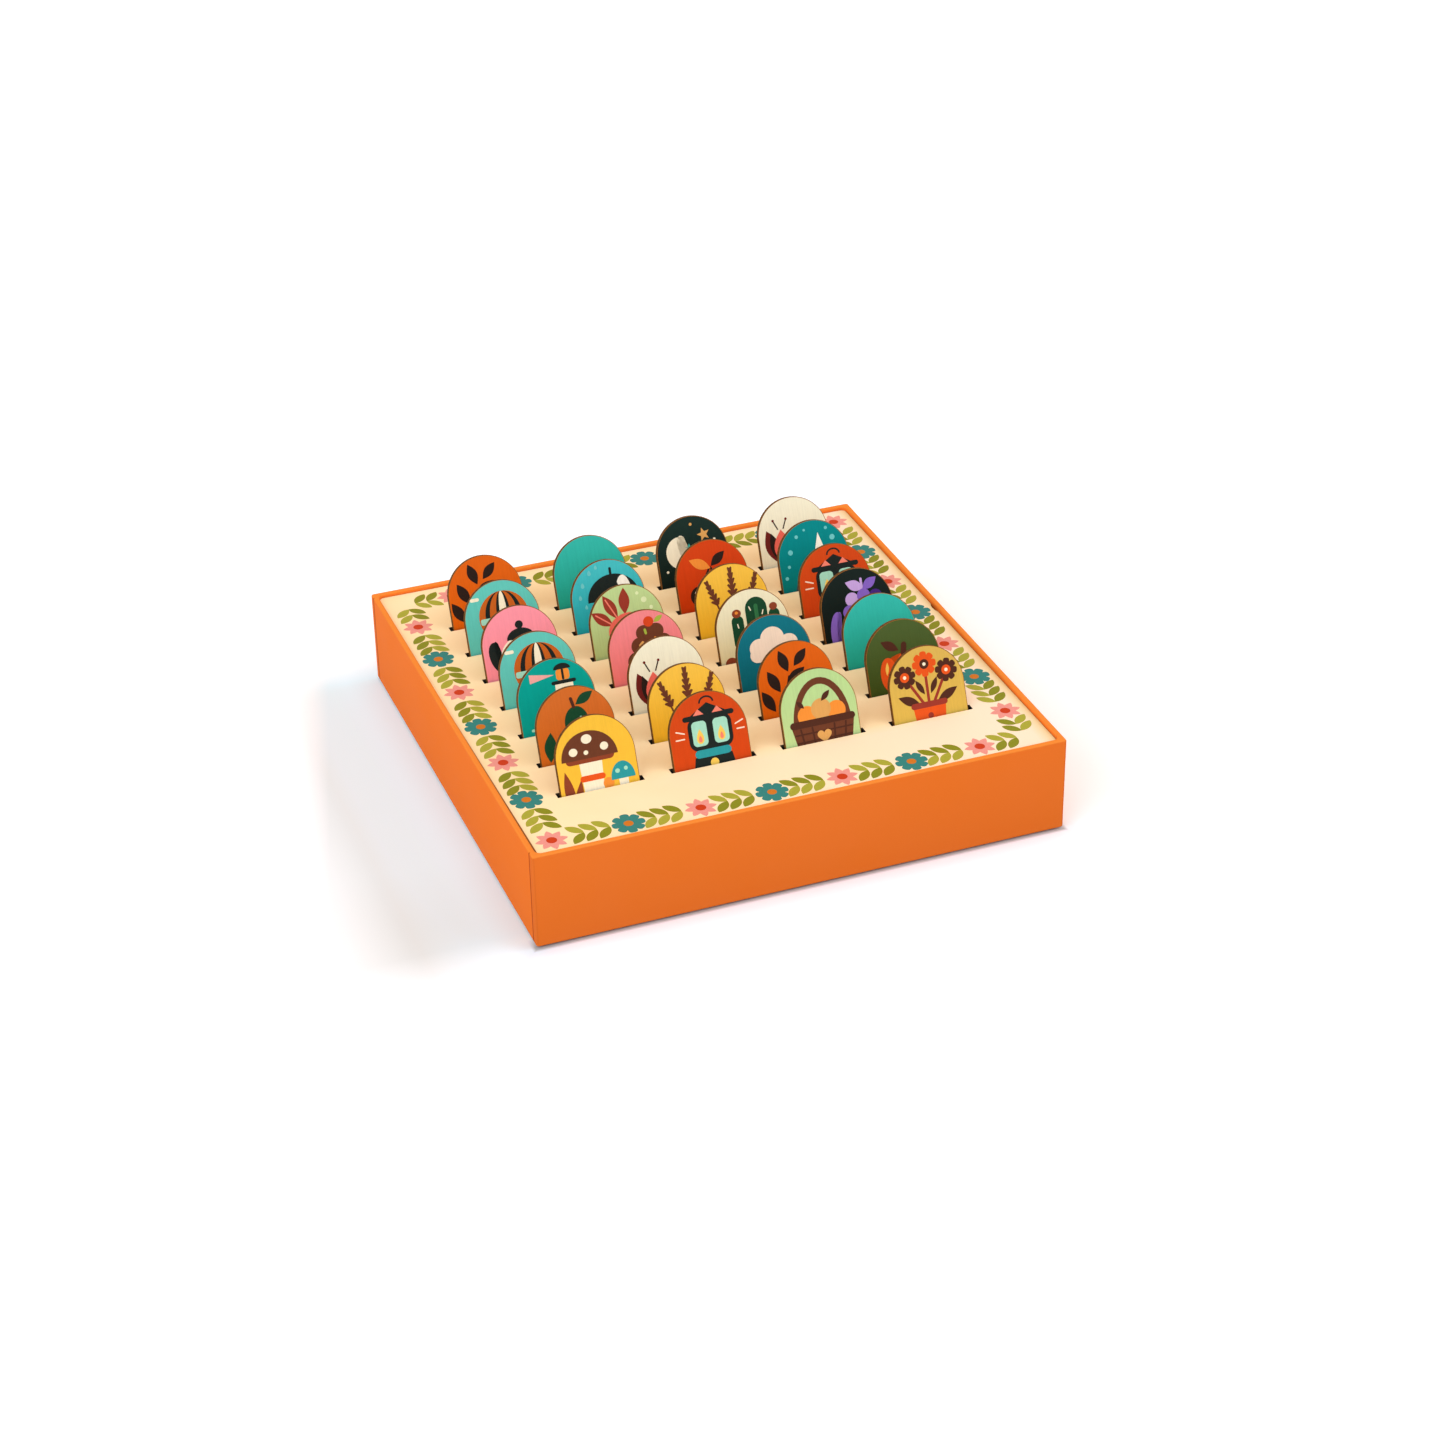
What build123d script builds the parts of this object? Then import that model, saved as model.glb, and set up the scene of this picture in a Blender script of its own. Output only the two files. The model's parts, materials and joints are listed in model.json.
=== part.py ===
"""Memory card game: a paper-wrapped cardboard tray, a lift-out platform and 28 leaning picture cards.

Millimetres, +Z up. The origin is the middle of the tray's underside, and the players' side,
which the card faces look at, is -Y.
"""
from build123d import *
import math
import os

# Tray: a rigid cardboard box wrapped in coloured paper
TRAY_WIDTH = 280.0
TRAY_DEPTH = 280.0
TRAY_HEIGHT = 51.5
WALL_BOARD = 2.4
FLOOR_BOARD = 2.0
WRAP_PAPER = 0.3
WRAP_CORNER_RADIUS = 1.0
WRAP_RIM_RADIUS = 0.8
WRAP_INNER_CORNER_RADIUS = 3.0
TURN_IN = 16.0
SEAM_FROM_CORNER = 5.0
SEAM_WIDTH = 0.4
SEAM_DEPTH = 0.15
STAY_LEG = 12.0
STAY_PAPER = 0.3
LINER_PAPER = 0.3

# Platform: a printed deck on a foam slot block, standing on a cardboard frame
PLATFORM_CLEARANCE = 0.4
DECK_RECESS = 2.0
DECK_PAPER = 0.3
DECK_BOARD = 1.5
SLOT_BLOCK = 15.5
FOOT_BOARD = 2.0
RISER_BOARD = 2.0
RIB_BOARD = 2.0
RIB_SPACING = 91.0
NOTCH_CHORD = 9.5
NOTCH_DEPTH = 1.1
NOTCH_FROM_MIDDLE = 12.5

# Cards: plywood with an arched top, leaning back in their slots
CARD_COLUMNS = 4
CARD_ROWS = 7
COLUMN_PITCH = 59.0
ROW_PITCH = 29.8
CARD_WIDTH = 41.0
CARD_HEIGHT = 54.0
CARD_THICKNESS = 2.5
CARD_LEAN = 22.5
CARD_PLAY = 0.3
SLOT_END_GAP = 2.0
SLOT_FRONT_TO_BACK = 4.5

# Levels and outlines that follow from the sizes above
WALL = WALL_BOARD + 2 * WRAP_PAPER
FLOOR_TOP = WRAP_PAPER + FLOOR_BOARD
LINER_TOP = FLOOR_TOP + LINER_PAPER
TURN_IN_LOW = TRAY_HEIGHT - TURN_IN
BOARD_OUTER_WIDTH = TRAY_WIDTH - 2 * WRAP_PAPER
BOARD_OUTER_DEPTH = TRAY_DEPTH - 2 * WRAP_PAPER
BOARD_INNER_WIDTH = BOARD_OUTER_WIDTH - 2 * WALL_BOARD
BOARD_INNER_DEPTH = BOARD_OUTER_DEPTH - 2 * WALL_BOARD
BOARD_TOP = TRAY_HEIGHT - WRAP_PAPER
INSIDE_WIDTH = TRAY_WIDTH - 2 * WALL
INSIDE_DEPTH = TRAY_DEPTH - 2 * WALL
PLATFORM_WIDTH = INSIDE_WIDTH - 2 * PLATFORM_CLEARANCE
PLATFORM_DEPTH = INSIDE_DEPTH - 2 * PLATFORM_CLEARANCE
PLATFORM_CORNER_RADIUS = WRAP_INNER_CORNER_RADIUS - PLATFORM_CLEARANCE
DECK_TOP = TRAY_HEIGHT - DECK_RECESS
DECK_PAPER_LOW = DECK_TOP - DECK_PAPER
DECK_BOARD_LOW = DECK_PAPER_LOW - DECK_BOARD
SLOT_BLOCK_LOW = DECK_BOARD_LOW - SLOT_BLOCK
FOOT_BOARD_LOW = SLOT_BLOCK_LOW - FOOT_BOARD
SLOT_LENGTH = CARD_WIDTH + 2 * SLOT_END_GAP
LEAN_SLOPE = math.tan(math.radians(CARD_LEAN))
CUT_MARGIN = 1.0


def block(width, depth, low, high, x=0.0, y=0.0):
    """A square-edged block between two levels, centred on x and y."""
    return Pos(x, y, (low + high) / 2) * Box(width, depth, high - low)


def rounded_block(width, depth, low, high, radius):
    """A block on the tray's centre line with rounded upright edges."""
    outline = Plane.XY.offset(low) * RectangleRounded(width, depth, radius)
    return extrude(outline, high - low)


def end_wall_board(side):
    """The front (-1) or back (1) wall board, which runs the tray's full width."""
    middle = side * (BOARD_OUTER_DEPTH - WALL_BOARD) / 2
    board = block(BOARD_OUTER_WIDTH, WALL_BOARD, WRAP_PAPER, BOARD_TOP, y=middle)
    corners = board.edges().filter_by(Axis.Z).group_by(Axis.Y)[0 if side < 0 else -1]
    board = fillet(corners, WRAP_CORNER_RADIUS - WRAP_PAPER)
    return fillet(board.faces().sort_by(Axis.Z)[-1].edges(), WRAP_RIM_RADIUS - WRAP_PAPER)


def side_wall_board(side):
    """The left (-1) or right (1) wall board, which stands between the front and back boards."""
    middle = side * (BOARD_OUTER_WIDTH - WALL_BOARD) / 2
    board = block(WALL_BOARD, BOARD_INNER_DEPTH, WRAP_PAPER, BOARD_TOP, x=middle)
    rim = board.faces().sort_by(Axis.Z)[-1].edges().filter_by(Axis.Y)
    return fillet(rim, WRAP_RIM_RADIUS - WRAP_PAPER)


def side_wrap(wall_boards):
    """The wrap paper: round the walls, over the rim and down inside, with a cut edge near each corner."""
    outside = rounded_block(TRAY_WIDTH, TRAY_DEPTH, WRAP_PAPER, TRAY_HEIGHT, WRAP_CORNER_RADIUS)
    inside = rounded_block(INSIDE_WIDTH, INSIDE_DEPTH, 0, TRAY_HEIGHT + CUT_MARGIN, WRAP_INNER_CORNER_RADIUS)
    wrap = outside - inside
    wrap = fillet(wrap.faces().sort_by(Axis.Z)[-1].edges(), WRAP_RIM_RADIUS)
    wrap -= block(BOARD_INNER_WIDTH, BOARD_INNER_DEPTH, 0, TURN_IN_LOW)
    for board in wall_boards:
        wrap -= board
    for side in (-1, 1):
        for end in (-1, 1):
            seam_y = end * (TRAY_DEPTH / 2 - SEAM_FROM_CORNER)
            wrap -= block(2 * SEAM_DEPTH, SEAM_WIDTH, 0, BOARD_TOP, x=side * TRAY_WIDTH / 2, y=seam_y)
    return wrap


def corner_stay(x_side, y_side):
    """One folded paper tape glued into an inside corner below the turned-in wrap."""
    x_face = x_side * BOARD_INNER_WIDTH / 2
    y_face = y_side * BOARD_INNER_DEPTH / 2
    along_x = block(STAY_LEG, STAY_PAPER, LINER_TOP, TURN_IN_LOW,
                    x_face - x_side * STAY_LEG / 2, y_face - y_side * STAY_PAPER / 2)
    along_y = block(STAY_PAPER, STAY_LEG, LINER_TOP, TURN_IN_LOW,
                    x_face - x_side * STAY_PAPER / 2, y_face - y_side * STAY_LEG / 2)
    return along_x + along_y


def tray_pieces():
    """Every piece of the tray by node name."""
    boards = {
        "front_wall_board": end_wall_board(-1),
        "back_wall_board": end_wall_board(1),
        "left_wall_board": side_wall_board(-1),
        "right_wall_board": side_wall_board(1),
    }
    stays = [corner_stay(x_side, y_side) for x_side in (-1, 1) for y_side in (-1, 1)]
    return {
        "base_paper": rounded_block(TRAY_WIDTH, TRAY_DEPTH, 0, WRAP_PAPER, WRAP_CORNER_RADIUS),
        "floor_board": block(BOARD_INNER_WIDTH, BOARD_INNER_DEPTH, WRAP_PAPER, FLOOR_TOP),
        "floor_liner": block(BOARD_INNER_WIDTH, BOARD_INNER_DEPTH, FLOOR_TOP, LINER_TOP),
        **boards,
        "corner_stays": Compound(children=stays),
        "side_wrap": side_wrap(boards.values()),
    }


def row_y(row):
    """Where a row's slots are centred. Row 1 is at the back."""
    return ((CARD_ROWS + 1) / 2 - row) * ROW_PITCH


def column_x(column):
    """Where a column's slots are centred. Column 1 is on the left."""
    return (column - (CARD_COLUMNS + 1) / 2) * COLUMN_PITCH


def places():
    """Row and column of every card."""
    return [(row, column) for row in range(1, CARD_ROWS + 1) for column in range(1, CARD_COLUMNS + 1)]


def slot_back_y(row, level):
    """The back wall of a slot at a level: it meets the deck's slot edge at the top and leans with the card."""
    return row_y(row) + SLOT_FRONT_TO_BACK / 2 - (DECK_TOP - level) * LEAN_SLOPE


def platform_slab(low, high):
    """A full layer of the platform, cut away at the finger notch."""
    slab = rounded_block(PLATFORM_WIDTH, PLATFORM_DEPTH, low, high, PLATFORM_CORNER_RADIUS)
    radius = (NOTCH_CHORD ** 2 / 4 + NOTCH_DEPTH ** 2) / (2 * NOTCH_DEPTH)
    centre = Pos(PLATFORM_WIDTH / 2 - NOTCH_DEPTH + radius, NOTCH_FROM_MIDDLE, (low + high) / 2)
    return slab - centre * Cylinder(radius, high - low + 2 * CUT_MARGIN)


def slotted_layer(low, high):
    """A layer of the deck with an upright slot for each card."""
    slots = [block(SLOT_LENGTH, SLOT_FRONT_TO_BACK, low - CUT_MARGIN, high + CUT_MARGIN, column_x(column), row_y(row))
             for row, column in places()]
    return platform_slab(low, high) - slots


def leaning_slot(row, column):
    """The cutter for one slot of the foam block, which leans as the card does."""
    low, high = SLOT_BLOCK_LOW - CUT_MARGIN, DECK_BOARD_LOW + CUT_MARGIN
    corners = [(slot_back_y(row, low) - SLOT_FRONT_TO_BACK, low), (slot_back_y(row, low), low),
               (slot_back_y(row, high), high), (slot_back_y(row, high) - SLOT_FRONT_TO_BACK, high)]
    outline = Plane.YZ.offset(column_x(column) - SLOT_LENGTH / 2) * Polygon(*corners, align=None)
    return extrude(outline, SLOT_LENGTH)


def slot_block():
    """The foam block that holds the cards' lower ends."""
    return platform_slab(SLOT_BLOCK_LOW, DECK_BOARD_LOW) - [leaning_slot(row, column) for row, column in places()]


def frame_strip(width, depth, x, y):
    """One upright strip of the platform's frame, trimmed to the platform's rounded outline."""
    outline = rounded_block(PLATFORM_WIDTH, PLATFORM_DEPTH, LINER_TOP, FOOT_BOARD_LOW, PLATFORM_CORNER_RADIUS)
    return block(width, depth, LINER_TOP, FOOT_BOARD_LOW, x, y) & outline


def platform_pieces():
    """Every piece of the lift-out platform by node name."""
    riser_x = (PLATFORM_WIDTH - RISER_BOARD) / 2
    riser_y = (PLATFORM_DEPTH - RISER_BOARD) / 2
    between = PLATFORM_DEPTH - 2 * RISER_BOARD
    return {
        "deck_print": slotted_layer(DECK_PAPER_LOW, DECK_TOP),
        "deck_board": slotted_layer(DECK_BOARD_LOW, DECK_PAPER_LOW),
        "slot_block": slot_block(),
        "foot_board": platform_slab(FOOT_BOARD_LOW, SLOT_BLOCK_LOW),
        "front_riser": frame_strip(PLATFORM_WIDTH, RISER_BOARD, 0, -riser_y),
        "back_riser": frame_strip(PLATFORM_WIDTH, RISER_BOARD, 0, riser_y),
        "left_riser": frame_strip(RISER_BOARD, between, -riser_x, 0),
        "right_riser": frame_strip(RISER_BOARD, between, riser_x, 0),
        "left_rib": frame_strip(RIB_BOARD, between, -RIB_SPACING / 2, 0),
        "right_rib": frame_strip(RIB_BOARD, between, RIB_SPACING / 2, 0),
    }


def upright_card():
    """One card standing on its foot, with the middle of its lower back edge at the origin."""
    shoulder = CARD_HEIGHT - CARD_WIDTH / 2
    body = Pos(0, shoulder / 2) * Rectangle(CARD_WIDTH, shoulder)
    face = body + Pos(0, shoulder) * Circle(CARD_WIDTH / 2)
    return extrude(Plane.XZ * face, CARD_THICKNESS)


def card(row, column):
    """A card leaning back in its slot, with its foot on the foot board."""
    play = CARD_PLAY / math.cos(math.radians(CARD_LEAN))
    foot = Pos(column_x(column), slot_back_y(row, SLOT_BLOCK_LOW) - play, SLOT_BLOCK_LOW)
    return foot * Rot(-CARD_LEAN, 0, 0) * upright_card()


def main():
    """Writes one STEP file for each named piece."""
    os.makedirs("parts", exist_ok=True)
    pieces = {**tray_pieces(), **platform_pieces()}
    for row, column in places():
        pieces[f"card_r{row}c{column}"] = card(row, column)
    for name, solid in pieces.items():
        export_step(solid, f"parts/{name}.step")


main()
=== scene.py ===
"""Looks of the memory card game: its paper-wrapped tray, slotted deck and leaning plywood cards."""

import json
import logging
from collections.abc import Callable, Iterable, Sequence
from dataclasses import dataclass, field
from enum import Enum, IntEnum
from math import atan2, cos, degrees, pi, radians, sin, sqrt
from typing import ClassVar

import bmesh
import bpy
import numpy as np
from mathutils import Matrix, Vector


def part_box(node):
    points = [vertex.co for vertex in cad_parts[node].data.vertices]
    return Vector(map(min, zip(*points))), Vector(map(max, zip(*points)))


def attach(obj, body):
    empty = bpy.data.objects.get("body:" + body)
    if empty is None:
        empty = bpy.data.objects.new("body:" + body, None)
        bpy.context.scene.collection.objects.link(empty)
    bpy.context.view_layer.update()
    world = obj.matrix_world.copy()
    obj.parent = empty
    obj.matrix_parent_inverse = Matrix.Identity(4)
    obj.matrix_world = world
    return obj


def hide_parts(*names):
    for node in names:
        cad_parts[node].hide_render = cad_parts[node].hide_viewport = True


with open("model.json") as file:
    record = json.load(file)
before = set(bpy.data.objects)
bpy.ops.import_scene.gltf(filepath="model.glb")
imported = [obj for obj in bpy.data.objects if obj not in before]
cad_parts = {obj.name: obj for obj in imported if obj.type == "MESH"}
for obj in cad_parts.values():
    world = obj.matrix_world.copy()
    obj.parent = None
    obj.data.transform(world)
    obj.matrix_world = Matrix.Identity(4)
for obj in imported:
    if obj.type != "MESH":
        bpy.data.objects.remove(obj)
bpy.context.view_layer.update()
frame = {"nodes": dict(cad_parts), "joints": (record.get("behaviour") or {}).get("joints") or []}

LOG = logging.getLogger("memory_card_game")
MM = 0.001
OWN_PLACE = "own_place"
PAPER_TOOTH = (0.9, 0.9, 0.9)
INK_FILM = 0.03 * MM
INK_ROOT = 0.02 * MM
MOST_FILMS = 6
CLOSE = 0.0001 * MM
NEAR = 0.01 * MM
WHITE = (1.0, 1.0, 1.0, 1.0)

Socket = bpy.types.NodeSocket
Settings = dict[str | int, object]
Pair = tuple[float, float]
Triple = tuple[float, float, float]
Colour = str | tuple[float, float, float, float] | Socket


def linear(colour: str) -> tuple[float, float, float, float]:
    """Turns an sRGB hex colour to the linear colour that the shaders take.

    Args:
        colour: The colour as "#RRGGBB".

    Returns:
        Red, green, blue and an alpha of 1.
    """
    parts = [int(colour[i : i + 2], 16) / 255 for i in (1, 3, 5)]
    red, green, blue = (p / 12.92 if p <= 0.04045 else ((p + 0.055) / 1.055) ** 2.4 for p in parts)
    return red, green, blue, 1.0


@dataclass(frozen=True)
class Surface:
    """How a surface takes the light.

    Attributes:
        matt: Its roughness.
        sheen: Its specular level.
        depth: How deep its relief is, in millimetres.
        strength: How much of the relief shows.
    """

    matt: float
    sheen: float = 0.5
    depth: float = 0.08
    strength: float = 0.4


@dataclass(frozen=True)
class Brush:
    """Puts the nodes of one material together.

    A colour is given to it as hex, as linear red, green, blue and alpha, or as a socket. A
    pattern's place is in metres, and the sizes that it is given are in millimetres.

    Attributes:
        tree: The node tree of the material, or of the world.
    """

    tree: bpy.types.NodeTree

    def feed(self, node: bpy.types.Node, settings: Settings) -> None:
        """Gives a node its settings and links.

        Args:
            node: The node.
            settings: Values by property name, or else values and output sockets by the name or
                number of the input that they go to.
        """
        for key, value in settings.items():
            if isinstance(value, Socket):
                self.tree.links.new(value, node.inputs[key])
            elif isinstance(key, str) and hasattr(node, key):
                setattr(node, key, value)
            else:
                node.inputs[key].default_value = value

    def add(self, kind: str, settings: Settings) -> bpy.types.bpy_prop_collection:
        """Adds a node with its settings and links.

        Args:
            kind: The node's Blender type.
            settings: Its settings and links, as feed takes them.

        Returns:
            Its outputs.
        """
        node = self.tree.nodes.new(kind)
        self.feed(node, settings)
        return node.outputs

    def streaks(self, place: Socket, size: Triple, detail: float) -> Socket:
        """Uneven streaks or mottling of a real size.

        Args:
            place: The point's place.
            size: How long a streak is along x, y and z.
            detail: How many finer octaves it has.

        Returns:
            A value that drifts about 0.5.
        """
        scale = [1 / (s * MM) for s in size]
        scaled = self.add("ShaderNodeMapping", {"Scale": scale, "Vector": place})
        noise = {"Scale": 1.0, "Detail": detail, "Roughness": 0.6, "Vector": scaled[0]}
        return self.add("ShaderNodeTexNoise", noise)["Fac"]

    def blend(self, share: Socket, low: Colour, high: Colour, span: Pair = (0.35, 0.65)) -> Socket:
        """Goes from one colour to another as a value crosses a span.

        Args:
            share: The value.
            low: The colour below the span.
            high: The colour above it.
            span: Where the change starts and ends.

        Returns:
            The colour.
        """
        first, last = (linear(c) if isinstance(c, str) else c for c in (low, high))
        crossing = {"From Min": span[0], "From Max": span[1], "Value": share}
        ranged = self.add("ShaderNodeMapRange", crossing)
        mixed = {"data_type": "RGBA", 0: ranged[0], 6: first, 7: last}
        return self.add("ShaderNodeMix", mixed)[2]

    def fade(self, place: Socket, low: Colour, high: Colour, span: Pair) -> Socket:
        """Blends two colours along a length, with the span's ends in millimetres."""
        return self.blend(place, low, high, (span[0] * MM, span[1] * MM))

    def shade(self, colour: Colour, pattern: Socket, span: Pair, light: Pair) -> Socket:
        """Makes a colour darker and lighter along a pattern.

        Args:
            colour: The colour.
            pattern: The pattern.
            span: Its values where the colour is darkest and lightest.
            light: How light it is there, where 1 is the colour as given.

        Returns:
            The colour.
        """
        crossing = {"From Min": span[0], "From Max": span[1], "Value": pattern}
        crossed = {"To Min": light[0], "To Max": light[1]}
        value = self.add("ShaderNodeMapRange", {**crossing, **crossed})[0]
        given = linear(colour) if isinstance(colour, str) else colour
        return self.add("ShaderNodeHueSaturation", {"Value": value, "Color": given})[0]

    def looked_at(self) -> Socket:
        """1 where the camera or a reflection looks, and 0 for the light that is thrown back."""
        path = self.add("ShaderNodeLightPath", {})
        rays = {0: path["Is Camera Ray"], 1: path["Is Glossy Ray"]}
        return self.add("ShaderNodeMath", {"operation": "MAXIMUM", **rays})[0]

    def coat(self, colour: Socket, surface: Surface, height: Socket | None = None) -> None:
        """Gives the shader its colour, its gloss and its relief.

        Args:
            colour: The colour.
            surface: How the surface takes the light.
            height: The pattern that raises it, if any does.
        """
        shader = self.tree.nodes["Principled BSDF"]
        gloss = {"Roughness": surface.matt, "Specular IOR Level": surface.sheen}
        self.feed(shader, {"Base Color": colour, **gloss})
        if height:
            relief = {"Strength": surface.strength, "Distance": surface.depth * MM}
            normal = self.add("ShaderNodeBump", {**relief, "Height": height})[0]
            self.feed(shader, {"Normal": normal})


class Coordinates(Enum):
    """Which coordinates a finish reads. Each has its node, its settings and its output."""

    FRAME = ("ShaderNodeTexCoord", {}, "Object")
    OWN = ("ShaderNodeAttribute", {"attribute_name": OWN_PLACE}, "Vector")


@dataclass(frozen=True)
class Finish:
    """A finish of the object. Its material is made on first use.

    Attributes:
        coordinates: The coordinates of its patterns.
        name: The material's name.
    """

    coordinates: ClassVar[Coordinates] = Coordinates.FRAME
    name: str

    def material(self) -> bpy.types.Material:
        """The finish's Blender material."""
        known = bpy.data.materials.get(self.name)
        if known:
            return known
        made = bpy.data.materials.new(self.name)
        made.use_nodes = True
        brush = Brush(made.node_tree)
        kind, settings, output = self.coordinates.value
        self.paint(brush, brush.add(kind, settings)[output])
        return made

    def paint(self, brush: Brush, place: Socket) -> None:
        """Adds the finish's nodes.

        Args:
            brush: What adds them.
            place: The point's place.
        """
        raise NotImplementedError


@dataclass(frozen=True)
class WrapPaper(Finish):
    """Litho-printed wrapping paper with a matt laminate, glued round greyboard.

    The print is even and the laminate has a soft low sheen. The rim is painted lighter and
    yellower, as painted sheen from the light above. On the left and right faces a dark line shows
    the cut edge where the sheet laps the corner, with painted shade in it, and the lap beside it is
    painted a little darker, as painted shade.
    Lengths are in millimetres.

    Attributes:
        print_colour: The printed colour.
        deep_colour: The same print where more ink lies.
        rim_sheen_colour: The print on the rim, painted lighter and yellower as painted sheen.
        strip_shade_colour: The print on the lap, painted darker as painted shade.
        lap_colour: The lap's cut edge with the painted shade in it.
        rim_sheen_span: The heights between which the wall goes over to the rim's painted sheen.
        half_side: From the box's middle to its outside.
        lap: From the corner to the lap's edge.
        lap_width: How wide the line looks.
        patch: How wide the patches of deeper print are.
        fibre: How wide the paper's fibres look.
        surface: How it takes the light.
    """

    print_colour: str = "#F27B30"
    deep_colour: str = "#F27A2C"
    rim_sheen_colour: str = "#EC8636"
    strip_shade_colour: str = "#E5732C"
    lap_colour: str = "#B0400A"
    rim_sheen_span: Pair = (50.6, 51.1)
    half_side: float = 140.0
    lap: float = 5.0
    lap_width: float = 0.8
    patch: Triple = (45.0, 45.0, 45.0)
    fibre: Triple = (0.8, 0.8, 0.8)
    surface: Surface = Surface(0.6, 0.02, 0.05, 0.2)

    def paint(self, brush: Brush, place: Socket) -> None:
        """Adds the paper's nodes.

        Args:
            brush: What adds them.
            place: The point's place.
        """
        x, y, z = brush.add("ShaderNodeSeparateXYZ", {"Vector": place})
        side_x, side_y = (
            brush.add("ShaderNodeMath", {"operation": "ABSOLUTE", 0: v})[0] for v in (x, y)
        )
        lap_at = (self.half_side - self.lap) * MM
        past_lap = brush.add("ShaderNodeMath", {"operation": "SUBTRACT", 0: side_y, 1: lap_at})[0]
        inside = brush.add(
            "ShaderNodeMath", {"operation": "SUBTRACT", 0: self.half_side * MM, 1: side_x}
        )[0]
        on_strip = brush.add(
            "ShaderNodeMath", {"operation": "MULTIPLY_ADD", 0: inside, 1: -self.lap, 2: past_lap}
        )[0]
        off_lap = brush.add("ShaderNodeMath", {"operation": "ABSOLUTE", 0: past_lap})[0]
        near = brush.add("ShaderNodeMath", {"operation": "ADD", 0: off_lap, 1: inside})[0]
        patches = brush.streaks(place, self.patch, 2)
        colour = brush.blend(patches, self.deep_colour, self.print_colour)
        # Painted shade: the lap beside the corner darker, like the front face.
        colour = brush.fade(on_strip, colour, self.strip_shade_colour, (0.0, 0.1))
        # Painted sheen: the rim lighter and yellower than the walls.
        colour = brush.fade(z, colour, self.rim_sheen_colour, self.rim_sheen_span)
        # The lap's cut edge as a dark line, with painted shade in it.
        colour = brush.fade(near, self.lap_colour, colour, (self.lap_width / 2, self.lap_width))
        brush.coat(colour, self.surface, brush.streaks(place, self.fibre, 4))


@dataclass(frozen=True)
class Board(Finish):
    """Paper and board with fibres in it: greyboard, liner, kraft tape or deck board.

    The eye sees short flecks of lighter and darker fibre in a flat, dull sheet.

    Attributes:
        pale: The sheet's lighter colour.
        dark: Its fleck colour.
        fleck: How long a fleck is, in millimetres. It is 0.6 of that wide.
        matt: The roughness.
    """

    pale: str = "#A9A196"
    dark: str = "#8C8377"
    fleck: float = 1.2
    matt: float = 0.85

    def paint(self, brush: Brush, place: Socket) -> None:
        """Adds the board's nodes.

        Args:
            brush: What adds them.
            place: The point's place.
        """
        wide = self.fleck * 0.6
        flecks = brush.streaks(place, (self.fleck, wide, wide), 5)
        colour = brush.blend(flecks, self.dark, self.pale, (0.38, 0.56))
        brush.coat(colour, Surface(self.matt), flecks)


@dataclass(frozen=True)
class DeckPaper(Finish):
    """Cream litho paper on the die-cut deck: even print with a faint tooth, dark on its cut sides.

    The margin in front of the cards is painted paler towards the right, as painted light. A thin
    line along the left edge is painted dark, as painted shade, and the sheet is painted darker
    towards its right edge, as the painted shadow of the tray's wall. Lengths are in millimetres.

    Attributes:
        cream: The printed colour.
        warm: The same print where the sheet took more ink.
        pale: What the margin in front of the cards fades to on the right, as painted light.
        fading: Where that starts and ends.
        margin: Where the margin starts on the right.
        deeper: How much nearer to the middle it starts in front.
        cut: The colour of the cut sides.
        edge: The colour of the painted shade line along the left edge.
        line: Where that line fades and ends at the middle of the left edge.
        line_skew: How much wider it gets with each millimetre towards the front.
        wall_shadow_colour: The colour of the painted shadow of the tray's wall, towards the right
            edge.
        wall_shadow_span: Where that painted shadow starts and ends.
        patch: How wide the patches of warmer print are.
        surface: How it takes the light.
    """

    cream: str = "#FFE3B8"
    warm: str = "#FDDFB1"
    pale: str = "#FFE4CB"
    fading: Pair = (-110.0, 115.0)
    margin: Pair = (100.0, 108.0)
    deeper: float = 12.0
    cut: str = "#2A1D14"
    edge: str = "#8A5424"
    line: Pair = (-136.45, -136.25)
    line_skew: float = 0.006
    wall_shadow_colour: str = "#E9CE96"
    wall_shadow_span: Pair = (129.0, 137.0)
    patch: Triple = (35.0, 35.0, 35.0)
    surface: Surface = Surface(0.55, 0.07, 0.04, 0.2)

    def paint(self, brush: Brush, place: Socket) -> None:
        """Adds the paper's nodes.

        Args:
            brush: What adds them.
            place: The point's place.
        """
        x, y, _ = brush.add("ShaderNodeSeparateXYZ", {"Vector": place})
        ahead = brush.add(
            "ShaderNodeMath", {"operation": "MULTIPLY_ADD", 0: y, 1: -1.0, 2: self.deeper * MM}
        )[0]
        outward = brush.add("ShaderNodeMath", {"operation": "MAXIMUM", 0: x, 1: ahead})[0]
        skewed = brush.add(
            "ShaderNodeMath", {"operation": "MULTIPLY_ADD", 0: y, 1: self.line_skew, 2: x}
        )[0]
        top = brush.blend(brush.streaks(place, self.patch, 2), self.warm, self.cream)
        # Painted light: the margin in front of the cards paler towards the right.
        top = brush.fade(outward, top, brush.fade(x, top, self.pale, self.fading), self.margin)
        # Painted shade: a dark line along the left edge, where the gap by the wall lies.
        top = brush.fade(skewed, self.edge, top, self.line)
        # Painted shadow of the tray's right wall on the sheet.
        top = brush.fade(x, top, self.wall_shadow_colour, self.wall_shadow_span)
        facing = brush.add("ShaderNodeNewGeometry", {})["Normal"]
        up = brush.add("ShaderNodeSeparateXYZ", {"Vector": facing})["Z"]
        colour = brush.blend(up, self.cut, top, (0.45, 0.55))
        brush.coat(colour, self.surface, brush.streaks(place, PAPER_TOOTH, 4))


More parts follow.
